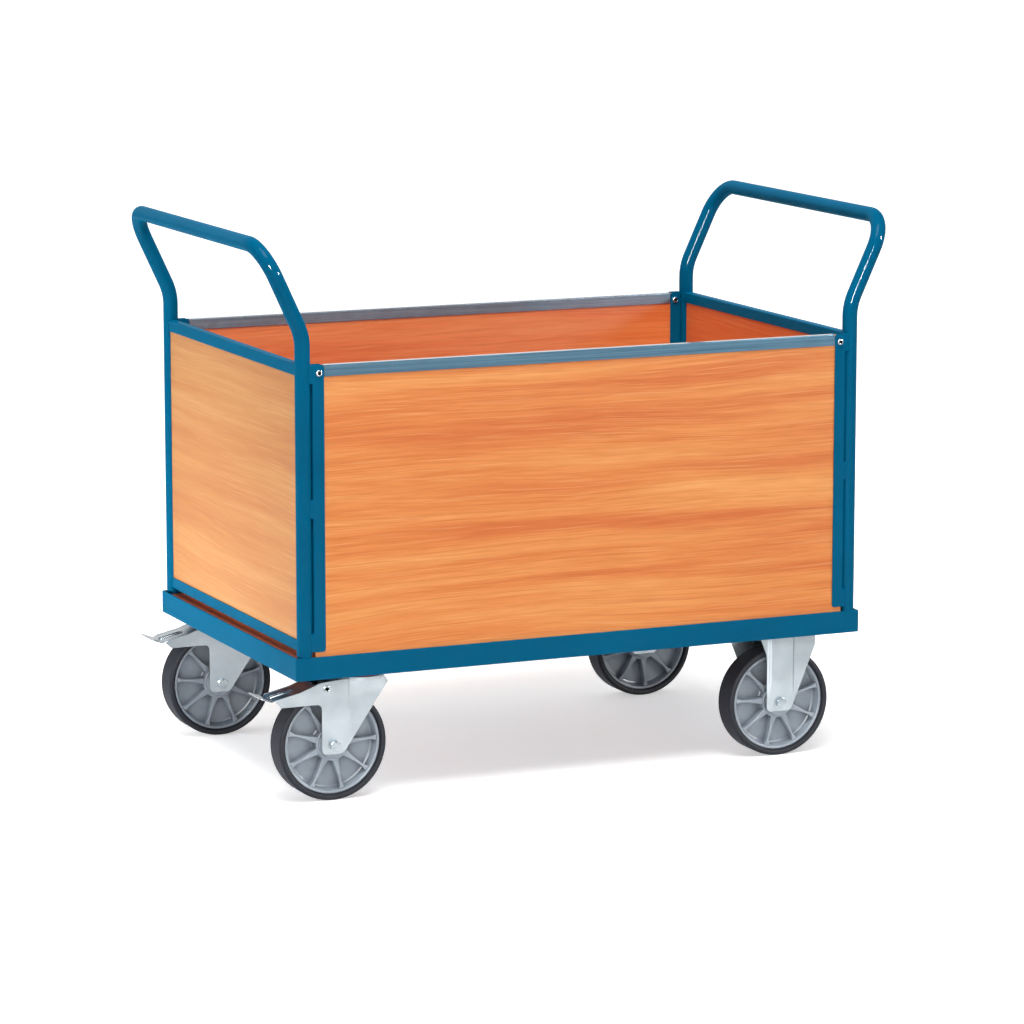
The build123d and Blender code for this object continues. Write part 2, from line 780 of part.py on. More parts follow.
# Fixed forks: a plate with two pressed legs, each with a wing on one side and a panel down its middle
# that is pressed outwards, hollow behind. The back leg is the front one turned half round.
def fixed_fork(node, x, y):
    leg_radii = (leg_round, fixed_leg_flare_radius, 0, 0, fixed_leg_wing_round, leg_round)
    with BuildPart() as piece:
        with BuildSketch(level(x, y, plate_under)):
            castor_plate_face()
        extrude(amount=plate_thickness)
        for leg in sides.values():
            wing = -leg
            leg_points = (
                (-wing * fixed_leg_side, foot_z),
                (-wing * fixed_leg_side, plate_under - fixed_leg_flare_drop),
                (-wing * fixed_leg_flare, plate_under),
                (wing * plate_length / 2, plate_under),
                (wing * plate_length / 2, plate_under - fixed_leg_wing_drop),
                (wing * fixed_leg_toe, foot_z),
            )
            with BuildSketch(upright(x, y + leg * fork_gap / 2)):
                outline(leg_points, leg_radii)
            extrude(amount=-leg * leg_thickness)
            with BuildSketch(upright(x, y + leg * fork_gap / 2)):
                with Locations((0, plate_under)):
                    Rectangle(
                        fixed_panel_width, plate_under - fixed_panel_foot, align=(Align.CENTER, Align.MAX),
                    )
            extrude(amount=-leg * (leg_thickness + fixed_panel_depth))
            with BuildSketch(upright(x, y + leg * fork_gap / 2)):
                with Locations((0, plate_under)):
                    Rectangle(
                        fixed_panel_width - 2 * leg_thickness, plate_under - fixed_panel_foot - leg_thickness,
                        align=(Align.CENTER, Align.MAX),
                    )
            extrude(amount=-leg * fixed_panel_depth, mode=Mode.SUBTRACT)
        with BuildSketch(upright(x, y)):
            with Locations((0, axle_height)):
                Circle(axle_radius + axle_clearance)
        extrude(amount=fork_width, both=True, mode=Mode.SUBTRACT)
    save(piece, node)


def wheel_ring(width, inner_radius, outer_radius, centre=0, mode=Mode.ADD):
    # One rectangle of a wheel's section, in a crosswise sketch through the axle.
    with Locations((centre, axle_height + inner_radius)):
        Rectangle(width, outer_radius - inner_radius, align=(Align.CENTER, Align.MIN), mode=mode)


# Wheels: a moulded rim with tapered spokes on both faces of its web, a solid rubber tyre and two
# bearings in the hub.
def wheel(corner, x, y, turn):
    axle_line = Axis((x, y, axle_height), (0, 1, 0))
    spoke_end_radius = rim_radius - rim_band / 2
    seat_depth = bearing_width + bearing_inset
    bearing_centre = hub_width / 2 - bearing_inset - bearing_width / 2
    with BuildPart() as rim:
        with BuildSketch(across(x, y)):
            wheel_ring(rim_width, rim_radius - rim_band, rim_radius)
            wheel_ring(web_thickness, hub_bore_radius, rim_radius)
            wheel_ring(rim_width, hub_bore_radius, hub_radius)
            wheel_ring(hub_width, hub_bore_radius, hub_nose_radius)
            for face in sides.values():
                seat_centre = face * (hub_width - seat_depth) / 2
                wheel_ring(seat_depth, 0, bearing_radius + axle_clearance, seat_centre, Mode.SUBTRACT)
        revolve(axis=axle_line)
        with BuildSketch(upright(x, y)):
            with Locations((0, axle_height)):
                with PolarLocations(0, spoke_count, start_angle=turn):
                    Polygon(
                        (hub_nose_radius, -spoke_hub_width / 2),
                        (spoke_end_radius, -spoke_rim_width / 2),
                        (spoke_end_radius, spoke_rim_width / 2),
                        (hub_nose_radius, spoke_hub_width / 2),
                        align=None,
                    )
        extrude(amount=spoke_depth / 2, both=True)
    save(rim, corner + "_rim")

    tyre_inner = axle_height + rim_radius + tyre_fit
    with BuildPart() as tyre:
        with BuildSketch(across(x, y)):
            outline(
                (
                    (-tyre_width / 2, tyre_inner), (tyre_width / 2, tyre_inner),
                    (tyre_width / 2, wheel_diameter), (-tyre_width / 2, wheel_diameter),
                ),
                (0, 0, tyre_shoulder, tyre_shoulder),
            )
        revolve(axis=axle_line)
    save(tyre, corner + "_tyre")

    with BuildPart() as bearings:
        with BuildSketch(across(x, y)):
            for face in sides.values():
                wheel_ring(bearing_width, axle_radius + axle_clearance, bearing_radius, face * bearing_centre)
        revolve(axis=axle_line)
    save(bearings, corner + "_bearings")


wheel_x = -castor_x - castor_trail
for side_name, side in sides.items():
    swivel_head(side_name, -castor_x, side * castor_y)
    swivel_fork(side_name + "_swivel_fork", -castor_x, side * castor_y)
    brake_pedal(side_name + "_brake_pedal", -castor_x, side * castor_y)
    brake_rivets(side_name + "_brake_rivets", -castor_x, side * castor_y)
    brake_shoe(side_name + "_brake_shoe", -castor_x, side * castor_y)
    axle_bolts(side_name + "_swivel_axle", [(wheel_x, side * castor_y)])
    axle_nuts(side_name + "_swivel_axle_nut", [(wheel_x, side * castor_y)])
    fixed_fork(side_name + "_fixed_fork", castor_x, side * castor_y)

fixed_axles = [(castor_x, -castor_y), (castor_x, castor_y)]
axle_bolts("fixed_axles", fixed_axles)
axle_nuts("fixed_axle_nuts", fixed_axles)

wheel("front_left", wheel_x, -castor_y, front_left_turn)
wheel("back_left", wheel_x, castor_y, back_left_turn)
wheel("front_right", castor_x, -castor_y, front_right_turn)
wheel("back_right", castor_x, castor_y, back_right_turn)
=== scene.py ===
import bmesh
import bpy
import json
from math import atan2, cos, pi, radians, sin, sqrt, tan
from mathutils import Matrix, Vector


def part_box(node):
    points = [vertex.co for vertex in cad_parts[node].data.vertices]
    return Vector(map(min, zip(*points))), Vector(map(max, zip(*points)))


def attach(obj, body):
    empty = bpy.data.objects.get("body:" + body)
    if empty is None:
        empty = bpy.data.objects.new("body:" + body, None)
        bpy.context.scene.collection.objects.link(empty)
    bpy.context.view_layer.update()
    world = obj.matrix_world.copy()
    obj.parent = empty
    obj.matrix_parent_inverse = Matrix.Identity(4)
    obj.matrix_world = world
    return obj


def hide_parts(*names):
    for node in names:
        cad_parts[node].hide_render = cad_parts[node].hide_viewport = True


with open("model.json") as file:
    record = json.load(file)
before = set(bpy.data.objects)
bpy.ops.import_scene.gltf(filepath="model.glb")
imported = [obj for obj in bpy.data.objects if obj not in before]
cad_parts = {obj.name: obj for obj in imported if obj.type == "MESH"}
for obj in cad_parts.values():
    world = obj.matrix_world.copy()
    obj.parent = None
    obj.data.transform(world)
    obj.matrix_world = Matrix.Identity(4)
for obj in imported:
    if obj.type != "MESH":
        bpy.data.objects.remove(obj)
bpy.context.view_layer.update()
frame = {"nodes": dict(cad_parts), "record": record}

# Platform rim: four steel angles, mitred, welded into one ring and ground flush. Their upright legs
# are the blue band round the platform, and their level legs are the shelf that carries the deck.
mm = 0.001
rim_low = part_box("left_rail")[0]
rim_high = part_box("right_rail")[1]
rim_wall = 4 * mm
rim_corner = 5 * mm
rim_edge = 0.9 * mm
corner_steps, edge_steps = 6, 3
shelf_width = 30 * mm
shelf_thickness = 4 * mm
shelf_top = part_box("deck_board")[0].z


def srgb(code):
    # The linear colour of an sRGB hex code.
    shares = [int(code[place:place + 2], 16) / 255 for place in (1, 3, 5)]
    return [s / 12.92 if s <= 0.04045 else ((s + 0.055) / 1.055) ** 2.4 for s in shares] + [1]


def add(tree, kind, sockets=None, stops=None, **settings):
    # Adds one node: its settings, a ramp's (place, colour) stops, and its inputs as values or links.
    # A colour Mix node has its two colours on inputs 6 and 7 and its result on output 2.
    node = tree.nodes.new("ShaderNode" + kind)
    for name, value in settings.items():
        setattr(node, name, value)
    for name, value in (sockets or {}).items():
        if isinstance(value, bpy.types.NodeSocket):
            tree.links.new(value, node.inputs[name])
        else:
            node.inputs[name].default_value = value
    for count, (place, code) in enumerate(stops or []):
        ramp = node.color_ramp.elements
        stop = ramp[count] if count < 2 else ramp.new(place)
        stop.position = place
        stop.color = srgb(code)
    return node


def new_finish(name):
    # An empty material, its node tree and the output that gives a point's place on the trolley.
    made = bpy.data.materials.new(name)
    made.use_nodes = True
    made.node_tree.nodes.clear()
    return made, made.node_tree, add(made.node_tree, "TexCoord").outputs["Object"]


# Polyester powder coat, sprayed dry and baked: an even, saturated blue with a soft gloss and a bluish
# bloom seen edge on. The orange peel of the melted powder is about 2 mm across and is drawn three times
# as coarse, to show.
powder_coat, tree, spot = new_finish("blue_polyester_powder_coat")
peel = add(tree, "TexNoise", {"Vector": spot, "Scale": 1 / (6 * mm), "Detail": 2.0})
cloud = add(tree, "TexNoise", {"Vector": spot, "Scale": 1 / (150 * mm), "Detail": 3.0})
tone = add(tree, "ValToRGB", {"Fac": cloud.outputs["Fac"]}, [(0.3, "#005679"), (0.7, "#005C81")])
gloss = add(tree, "MapRange", {"Value": cloud.outputs["Fac"], "To Min": 0.1, "To Max": 0.15})
skin = add(tree, "Bump", {"Height": peel.outputs["Fac"], "Strength": 0.04, "Distance": 0.5 * mm})
shader = add(tree, "BsdfPrincipled", {
    "Base Color": tone.outputs["Color"], "Roughness": gloss.outputs["Result"],
    "Specular IOR Level": 0.0, "Normal": skin.outputs["Normal"],
    "Coat Weight": 0.1, "Coat Roughness": 0.05, "Coat Normal": skin.outputs["Normal"],
    "Sheen Weight": 0.15, "Sheen Roughness": 0.35, "Sheen Tint": srgb("#00D2FF"),
})
add(tree, "OutputMaterial", {"Surface": shader.outputs["BSDF"]})


def block(low, high):
    # A plain block between two corners.
    bm = bmesh.new()
    bmesh.ops.create_cube(bm, size=1)
    bmesh.ops.scale(bm, vec=Vector(high) - Vector(low), verts=bm.verts)
    bmesh.ops.translate(bm, vec=(Vector(high) + Vector(low)) / 2, verts=bm.verts)
    return bm


def facing(bm, *directions):
    # The faces of a mesh that look along any of the given directions.
    return [f for f in bm.faces if any(f.normal.dot(Vector(d)) > 0.9 for d in directions)]


def round_edges(bm, edges, radius, segments):
    # Rounds edges off to a radius.
    bmesh.ops.bevel(
        bm, geom=edges, offset=radius, affect="EDGES", segments=segments, profile=0.5, material=-1,
    )


def sharp_edges(bm):
    # The edges where a mesh turns by more than 50 degrees.
    return [e for e in bm.edges if e.is_manifold and e.calc_face_angle() > radians(50)]


def join(bm, other, place=Matrix()):
    # Moves another mesh to its place and into this one.
    bmesh.ops.transform(other, matrix=place, verts=other.verts)
    carrier = bpy.data.meshes.new("carrier")
    other.to_mesh(carrier)
    other.free()
    bm.from_mesh(carrier)
    bpy.data.meshes.remove(carrier)


bodies = frame["record"]["behaviour"]["bodies"]
body_of = {node: body for body, members in bodies.items() for node in members}


def piece(bm, name, finish, slot, *stands_for, lining=None):
    # Closes a mesh as a finished piece that rides with the CAD nodes it stands for. Faces of material
    # index 1 take the lining.
    bmesh.ops.recalc_face_normals(bm, faces=bm.faces)
    mesh = bpy.data.meshes.new(name)
    bm.to_mesh(mesh)
    bm.free()
    mesh.materials.append(finish)
    if lining:
        mesh.materials.append(lining)
    mesh.shade_smooth()
    mesh.set_sharp_from_angle(angle=radians(40))
    made = bpy.data.objects.new(name, mesh)
    made.modifiers.new("flat_faces_stay_flat", "WEIGHTED_NORMAL").keep_sharp = True
    bpy.context.scene.collection.objects.link(made)
    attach(made, body_of[stands_for[0]])
    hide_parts(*stands_for)


def upright_edges(bm):
    # The edges of a block that stand upright.
    return [e for e in bm.edges if abs(e.verts[0].co.z - e.verts[1].co.z) > 0]


def hollow_ring(low, high, corner, wall):
    # A block with rounded uprights, open above and below, with its wall on the inside.
    bm = block(low, high)
    round_edges(bm, upright_edges(bm), corner, corner_steps)
    bmesh.ops.delete(bm, geom=facing(bm, (0, 0, 1), (0, 0, -1)), context="FACES_ONLY")
    bmesh.ops.solidify(bm, geom=bm.faces[:], thickness=wall)
    return bm


rim = hollow_ring(rim_low, rim_high, rim_corner, rim_wall)
round_edges(rim, sharp_edges(rim), rim_edge, edge_steps)
shelf_low = (rim_low.x + rim_wall, rim_low.y + rim_wall, shelf_top - shelf_thickness)
shelf_high = (rim_high.x - rim_wall, rim_high.y - rim_wall, shelf_top)
join(rim, hollow_ring(shelf_low, shelf_high, rim_corner - rim_wall, shelf_width))
piece(
    rim, "platform_rim", powder_coat, "blue_powder_coat",
    "front_rail", "back_rail", "left_rail", "right_rail",
)

# Cross members and hoop sockets: shallow steel channels welded under the shelf, which carry the
# castors, and short tubes in the corners, which take the feet of the hoops. Both are coated with the rim.


def give_finish(finish, *names):
    # Puts a finish on CAD nodes whose shape is right as it is.
    for name in names:
        for material_slot in frame["nodes"][name].material_slots:
            material_slot.material = finish


give_finish(powder_coat, "cross_members", "hoop_sockets")

# Deck: one coated wood-fibre board, notched at the corners, that lies loose on the shelf. A strip of it
# shows between the rim and each end wall.


def streaks(tree, spot, length, width, detail, depth=1, shift=0):
    # A pattern of streaks along X, as long, wide and deep as given. At 1 m deep they run through a board.
    grid = (1 / length, 1 / depth, 1 / width)
    stretched = add(tree, "Mapping", {"Vector": spot, "Location": (shift, 0, 0), "Scale": grid})
    noise = add(tree, "TexNoise", {"Vector": stretched.outputs["Vector"], "Scale": 1.0, "Detail": detail})
    return noise.outputs["Fac"]


# Brown film-faced board: a smooth film with a printed grain of thin dark streaks along the length.
deck_film, tree, spot = new_finish("brown_film_faced_board")
grain = streaks(tree, spot, 220 * mm, 4 * mm, 4.0, depth=4 * mm)
tone = add(tree, "ValToRGB", {"Fac": grain}, [(0.3, "#7C3A1E"), (0.5, "#98492A"), (0.72, "#AC5833")])
skin = add(tree, "Bump", {"Height": grain, "Strength": 0.1, "Distance": 0.2 * mm})
shader = add(tree, "BsdfPrincipled", {
    "Base Color": tone.outputs["Color"], "Roughness": 0.5, "Specular IOR Level": 0.3,
    "Normal": skin.outputs["Normal"],
})
add(tree, "OutputMaterial", {"Surface": shader.outputs["BSDF"]})
give_finish(deck_film, "deck_board")

# Handle hoops: one steel tube each, bent four times cold on a mandrel. The legs stand upright beside
# the walls, kink outwards above them and meet in a grip bar across the end. Coated with the frame.
tube_radius = 13.5 * mm
kink_above_rim = 560 * mm
lean = radians(25)
kink_radius = 95 * mm
corner_radius = 60 * mm
foot_edge = 1 * mm
seam_reach = 0.01 * mm
tube_sides, kink_steps, bend_steps = 40, 10, 20
ends = {"left": -1, "right": 1}
hoop_x = (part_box("right_end_panel")[0].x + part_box("right_end_panel")[1].x) / 2
hoop_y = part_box("right_hoop")[1].y - tube_radius
bar_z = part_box("right_hoop")[1].z - tube_radius
kink_reach = kink_radius * tan(lean / 2)
leg_slope = Vector((sin(lean), 0, cos(lean)))
slope_length = (bar_z - rim_high.z - kink_above_rim) / cos(lean) - kink_reach - corner_radius


def of_kind(geometry, kind):
    # The vertices or the edges among what an operator made.
    return [g for g in geometry if isinstance(g, kind)]


def run(bm, ring, travel):
    # Draws a ring of edges out straight and returns the new ring.
    made = bmesh.ops.extrude_edge_only(bm, edges=ring)["geom"]
    bmesh.ops.translate(bm, vec=travel, verts=of_kind(made, bmesh.types.BMVert))
    return of_kind(made, bmesh.types.BMEdge)


def bend(bm, ring, centre, axis, angle, steps):
    # Draws a ring of edges round a bend and returns the new ring.
    made = bmesh.ops.spin(bm, geom=ring, cent=centre, axis=axis, angle=angle, steps=steps)["geom_last"]
    return of_kind(made, bmesh.types.BMEdge)


def middle(ring):
    # The centre of a ring of edges.
    corners = dict.fromkeys(v for e in ring for v in e.verts)
    return sum((v.co for v in corners), Vector()) / len(corners)


for end_name, end in ends.items():
    hoop = bmesh.new()
    foot = Matrix.Translation((hoop_x, -hoop_y, rim_high.z))
    bmesh.ops.create_circle(hoop, cap_ends=False, segments=tube_sides, radius=tube_radius, matrix=foot)
    ring = run(hoop, hoop.edges[:], (0, 0, kink_above_rim - kink_reach))
    ring = bend(hoop, ring, middle(ring) + Vector((kink_radius, 0, 0)), (0, 1, 0), lean, kink_steps)
    ring = run(hoop, ring, leg_slope * slope_length)
    corner_axis = leg_slope.cross((0, 1, 0))
    ring = bend(hoop, ring, middle(ring) + Vector((0, corner_radius, 0)), corner_axis, pi / 2, bend_steps)
    run(hoop, ring, (0, hoop_y - corner_radius, 0))
    whole = hoop.verts[:] + hoop.edges[:] + hoop.faces[:]
    bmesh.ops.mirror(hoop, geom=whole, axis="Y", merge_dist=seam_reach)
    bmesh.ops.holes_fill(hoop, edges=[e for e in hoop.edges if e.is_boundary], sides=0)
    round_edges(hoop, sharp_edges(hoop), foot_edge, edge_steps)
    bmesh.ops.scale(hoop, vec=(end, 1, 1), verts=hoop.verts)
    piece(hoop, end_name + "_handle_hoop", powder_coat, "blue_powder_coat", end_name + "_hoop")

# End bars: two steel strips folded into a U, open towards each other, that hold the end panel above
# and below. Each is welded between the legs of its hoop, with a bead up the corner at either end.
bar_height = 20 * mm
bar_wall = 2 * mm
bar_bend = 2.2 * mm
bead_radius = 2.2 * mm
bead_length = 17 * mm
fold_steps = 4


def folded_strip(low, high, opening, length, bend_radius, wall, corner=0):
    # A strip folded into a U with its wall on the inside: opening and length are directions.
    bm = block(low, high)
    cut_ends = (Vector(length), -Vector(length))
    bmesh.ops.delete(bm, geom=facing(bm, opening, *cut_ends), context="FACES")
    free_corners = [v for v in bm.verts if len(v.link_faces) == 1]
    round_edges(bm, [e for e in bm.edges if len(e.link_faces) == 2], bend_radius, fold_steps)
    if corner:
        bmesh.ops.bevel(
            bm, geom=free_corners, offset=corner, affect="VERTICES", segments=corner_steps, profile=0.5,
            material=-1,
        )
    bmesh.ops.solidify(bm, geom=bm.faces[:], thickness=wall)
    # The cut edges are broken by a sixth of the wall.
    round_edges(bm, sharp_edges(bm), wall / 6, 1)
    return bm


for end_name in ends:
    low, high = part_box(end_name + "_end_bars")
    half_depth = (high.x - low.x) / 2
    # The ends of a bar meet the round of the leg, so the strip runs on a little way into the tube.
    tube_meet = hoop_y - sqrt(tube_radius ** 2 - half_depth ** 2)
    strip_end = tube_meet + bar_wall
    bars = bmesh.new()
    for bottom, opening in ((low.z, (0, 0, 1)), (high.z - bar_height, (0, 0, -1))):
        strip_low = (low.x, -strip_end, bottom)
        strip_high = (high.x, strip_end, bottom + bar_height)
        join(bars, folded_strip(strip_low, strip_high, opening, (0, 1, 0), bar_bend, bar_wall))
        for side in (-1, 1):
            for face in (low.x, high.x):
                bead_place = Matrix.Translation((face, side * tube_meet, bottom + bar_height / 2))
                stretch = Matrix.Diagonal((bead_radius, bead_radius, bead_length / 2, 1))
                bmesh.ops.create_uvsphere(
                    bars, u_segments=12, v_segments=10, radius=1, matrix=bead_place @ stretch,
                )
    piece(bars, end_name + "_wall_bars", powder_coat, "blue_powder_coat", end_name + "_end_bars")

# End panels: decor-faced chipboard, sawn square, that slides into the slots of the two bars before
# these are welded shut.
panel_edge = 0.5 * mm
thin_edge_steps = 2


def beech_decor(name, turn, shift, fleck, pale, even, ruddy, light_line, dark_line):
    # Melamine film printed as plain-sawn beech and pressed on satin: soft bands along the board that sway
    # a little, light and dark lines that follow them, and fine flecks drawn twice their real width.
    made, tree, spot = new_finish(name)
    board = add(tree, "Mapping", {"Vector": spot, "Rotation": (0, 0, turn), "Location": shift})
    place = add(tree, "SeparateXYZ", {"Vector": board.outputs["Vector"]})
    across = place.outputs["Z"]
    for length, width, swing in ((800, 240, 75), (240, 60, 8)):
        sway = streaks(tree, board.outputs["Vector"], length * mm, width * mm, 1.0)
        across = add(tree, "Math", {
            0: sway, 1: swing * mm, 2: across,
        }, operation="MULTIPLY_ADD").outputs["Value"]
    flow = add(tree, "CombineXYZ", {"X": place.outputs["X"], "Y": place.outputs["Y"], "Z": across})
    band, dark, light, fibre = [
        streaks(tree, flow.outputs["Vector"], length * mm, width * mm, detail, shift=width)
        for length, width, detail in ((800, 34, 2.0), (380, 3.0, 1.0), (160, 2.7, 1.0), (60, 2.4, 2.0))
    ]
    colour = add(tree, "ValToRGB", {"Fac": band}, [(0.3, pale), (0.5, even), (0.68, ruddy)]).outputs["Color"]
    for line, start, end, strength, shade in (
        (dark, 0.52, 0.72, 0.5, dark_line), (light, 0.54, 0.74, 0.4, light_line),
    ):
        share = add(tree, "MapRange", {"Value": line, "From Min": start, "From Max": end, "To Max": strength})
        colour = add(tree, "Mix", {
            0: share.outputs["Result"], 6: colour, 7: srgb(shade),
        }, data_type="RGBA").outputs[2]
    fibre_tone = add(tree, "ValToRGB", {"Fac": fibre}, [(0.34, "#EBDACA"), (0.62, "#FFFFFF")])
    colour = add(tree, "Mix", {
        0: fleck, 6: colour, 7: fibre_tone.outputs["Color"],
    }, data_type="RGBA", blend_type="MULTIPLY").outputs[2]
    gloss = add(tree, "MapRange", {"Value": fibre, "To Min": 0.36, "To Max": 0.46})
    skin = add(tree, "Bump", {"Height": fibre, "Strength": 0.06, "Distance": 0.2 * mm})
    shader = add(tree, "BsdfPrincipled", {
        "Base Color": colour, "Roughness": gloss.outputs["Result"], "Specular IOR Level": 0.2,
        "Normal": skin.outputs["Normal"],
    })
    add(tree, "OutputMaterial", {"Surface": shader.outputs["BSDF"]})
    return made


end_decor = beech_decor(
    "beech_decor_across", pi / 2, (0.35, 0, 0.27), 0.35,
    "#C68F56", "#C0844B", "#B97842", "#CD9A66", "#B97843",
)
# The faces inside the box are painted ruddier and brighter, for the orange light that bounces between the
# walls.
end_lining_painted_bounce = beech_decor(
    "beech_decor_across_painted_bounce", pi / 2, (0.1, 0, 0.4), 0.35,
    "#EE8848", "#EC7A3C", "#E66E34", "#F09658", "#E06C32",
)


def wall_board(node, name, inwards, decor, lining):
    # A board whose face towards the load carries the lining, painted for the light that bounces inside the
    # box.
    board = block(*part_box(node))
    for face in facing(board, inwards):
        face.material_index = 1
    round_edges(board, board.edges[:], panel_edge, thin_edge_steps)
    piece(board, name, decor, "beech_decor_board", node, lining=lining)


for end_name, end in ends.items():
    wall_board(end_name + "_end_panel", end_name + "_wall_board", (-end, 0, 0), end_decor, end_lining_painted_bounce)

# Upright channels: steel strip folded into a U that takes the end of a side panel. The free corners are
# rounded off, and three short welds join each channel to the hoop leg beside it.
channel_wall = 2 * mm
channel_bend = 2.2 * mm
channel_corner = 5 * mm
weld_length = 33 * mm
weld_reach = 6.5 * mm
weld_sink = 0.2 * mm
weld_round = 1.5 * mm
weld_gap = 0.2 * mm
weld_steps = 4
panel_play = 0.4 * mm
panel_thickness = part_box("front_panel")[1].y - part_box("front_panel")[0].y
channel_width = 21.5 * mm
channel_depth = panel_thickness + 2 * channel_wall + panel_play
for end_name, end in ends.items():
    low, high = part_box(end_name + "_hoop_channels")
    outer_x = end * (hoop_x - tube_radius - weld_gap)
    inner_x = outer_x - end * channel_width
    channels = bmesh.new()
    for side in (-1, 1):
        outer_y = side * high.y
        inner_y = side * (high.y - channel_depth)
        strip_low = (min(outer_x, inner_x), min(outer_y, inner_y), low.z)
        strip_high = (max(outer_x, inner_x), max(outer_y, inner_y), high.z)
        join(channels, folded_strip(
            strip_low, strip_high, (-end, 0, 0), (0, 0, 1), channel_bend, channel_wall, channel_corner,
        ))
        weld_xs = sorted((outer_x - end * channel_bend, outer_x + end * weld_reach))
        weld_ys = sorted((side * hoop_y, outer_y - side * weld_sink))
        for base in (low.z, (low.z + high.z - weld_length) / 2, high.z - weld_length):
            weld = block((weld_xs[0], weld_ys[0], base), (weld_xs[1], weld_ys[1], base + weld_length))
            round_edges(weld, weld.edges[:], weld_round, weld_steps)
            join(channels, weld)
    piece(
        channels, end_name + "_corner_channels", powder_coat, "blue_powder_coat",
        end_name + "_hoop_channels",
    )

# Side panels: the same decor-faced chipboard, standing on the deck with its ends in the channels. The
# grain runs along the trolley.
side_decor = beech_decor(
    "beech_decor_lengthwise", 0, (0.12, 0, 0.05), 0.5,
    "#E69A53", "#DE8742", "#D16F30", "#EBA866", "#CB682B",
)
# Inside the box these boards too are painted ruddier and brighter, for the light bounced between the walls.
side_lining_painted_bounce = beech_decor(
    "beech_decor_lengthwise_painted_bounce", 0, (0.4, 0, 0.2), 0.5,
    "#F1924F", "#EE8442", "#E47131", "#F0A060", "#DA672B",
)
sides = {"front": -1, "back": 1}
for side_name, side in sides.items():
    wall_board(side_name + "_panel", side_name + "_wall_board", (0, -side, 0), side_decor, side_lining_painted_bounce)

# Caps: thin galvanised steel strip, folded into a U and pushed down over the top edge of each side panel,
# which it shields from knocks.
cap_wall = 1.3 * mm
cap_bend = 1.6 * mm


def galvanised(name, dark, pale):
    # Hot-dip galvanised strip, skin-passed and passivated: a cool grey metal with faint flat crystals of
    # about 8 mm, lengthwise rolling lines and a clear film that shines white where it is seen edge on.
    made, tree, spot = new_finish(name)
    crystal = add(tree, "TexVoronoi", {"Vector": spot, "Scale": 1 / (8 * mm)})
    rolling = streaks(tree, spot, 300 * mm, 2 * mm, 2.0, depth=2 * mm)
    tone = add(tree, "ValToRGB", {"Fac": rolling}, [(0.35, dark), (0.65, pale)])
    gloss = add(tree, "MapRange", {"Value": crystal.outputs["Color"], "To Min": 0.28, "To Max": 0.32})
    skin = add(tree, "Bump", {"Height": rolling, "Strength": 0.15, "Distance": 0.1 * mm})
    shader = add(tree, "BsdfPrincipled", {
        "Base Color": tone.outputs["Color"], "Metallic": 1.0, "Roughness": gloss.outputs["Result"],
        "Coat Weight": 1.0, "Coat Roughness": 0.08, "Normal": skin.outputs["Normal"],
    })
    add(tree, "OutputMaterial", {"Surface": shader.outputs["BSDF"]})
    return made


# The caps are one strip, coloured apart by painted light: the front one darker and bluer, as a painted
# reflection of dark blue, and the back one paler, as painted brighter light.
for side_name, strip in (
    ("front", galvanised("galvanised_strip_painted_blue_reflection", "#385B70", "#4F7184")),
    ("back", galvanised("galvanised_strip_painted_paler", "#576978", "#6D7D88")),
):
    cap = folded_strip(*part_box(side_name + "_cap"), (0, 0, -1), (1, 0, 0), cap_bend, cap_wall)
    piece(cap, side_name + "_wall_cap", strip, "galvanised_strip", side_name + "_cap")

# Wall screws and sleeve nuts: low button heads with a hexagon socket, outside and inside each channel,
# that clamp the panel's top corner. Cold-headed steel, zinc plated.
head_radius = 6 * mm
head_height = 3.3 * mm
head_round = 2.2 * mm
socket_width = 6.6 * mm
socket_depth = 2.9 * mm
socket_edge = 0.2 * mm
channel_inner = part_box("left_hoop_channels")[1].y - channel_depth
# Of the head, what lies within this radius and under this height is the inside of the socket.
socket_reach, socket_brow = 0.6 * socket_width, 0.9 * head_height
hairline = 0.001 * mm
fastener_steps, rounding_steps = 48, 5


def round_corners(bm, corners, segments):
    # Rounds the corners of an outline, given as pairs of vertex and radius.
    for corner, radius in corners:
        if radius:
            one, other = [e.other_vert(corner).co - corner.co for e in corner.link_edges]
            reach = radius / tan(one.angle(other) / 2)
            bmesh.ops.bevel(
                bm, geom=[corner], offset=reach, offset_type="ABSOLUTE", affect="VERTICES",
                segments=segments, profile=0.5, material=-1,
            )


def turned(profile, steps, closed=False):
    # A part turned about the Z axis from (radius, height, corner rounding) points.
    bm = bmesh.new()
    verts = [bm.verts.new((radius, 0, height)) for radius, height, rounding in profile]
    for one, other in zip(verts, verts[1:]):
        bm.edges.new((one, other))
    if closed:
        bm.edges.new((verts[-1], verts[0]))
    round_corners(bm, [(v, point[2]) for v, point in zip(verts, profile)], rounding_steps)
    bmesh.ops.spin(
        bm, geom=bm.verts[:] + bm.edges[:], cent=(0, 0, 0), axis=(0, 0, 1), angle=2 * pi, steps=steps,
        use_merge=True,
    )
    bmesh.ops.remove_doubles(bm, verts=bm.verts, dist=hairline)
    return bm


def make_hexagon(bm, radius, across_flats, chamfer_height=None):
    # Presses the rings of one radius into hexagons. Rings at the chamfer height fall off to the corners.
    for v in bm.verts:
        if abs(v.co.xy.length - radius) < seam_reach:
            turn = (atan2(v.co.y, v.co.x) + pi / 6) % (pi / 3) - pi / 6
            reach = across_flats / 2 / cos(turn)
            v.co.xy *= reach / radius
            if chamfer_height is not None and abs(v.co.z - chamfer_height) < seam_reach:
                v.co.z -= (reach - across_flats / 2) * tan(radians(30))


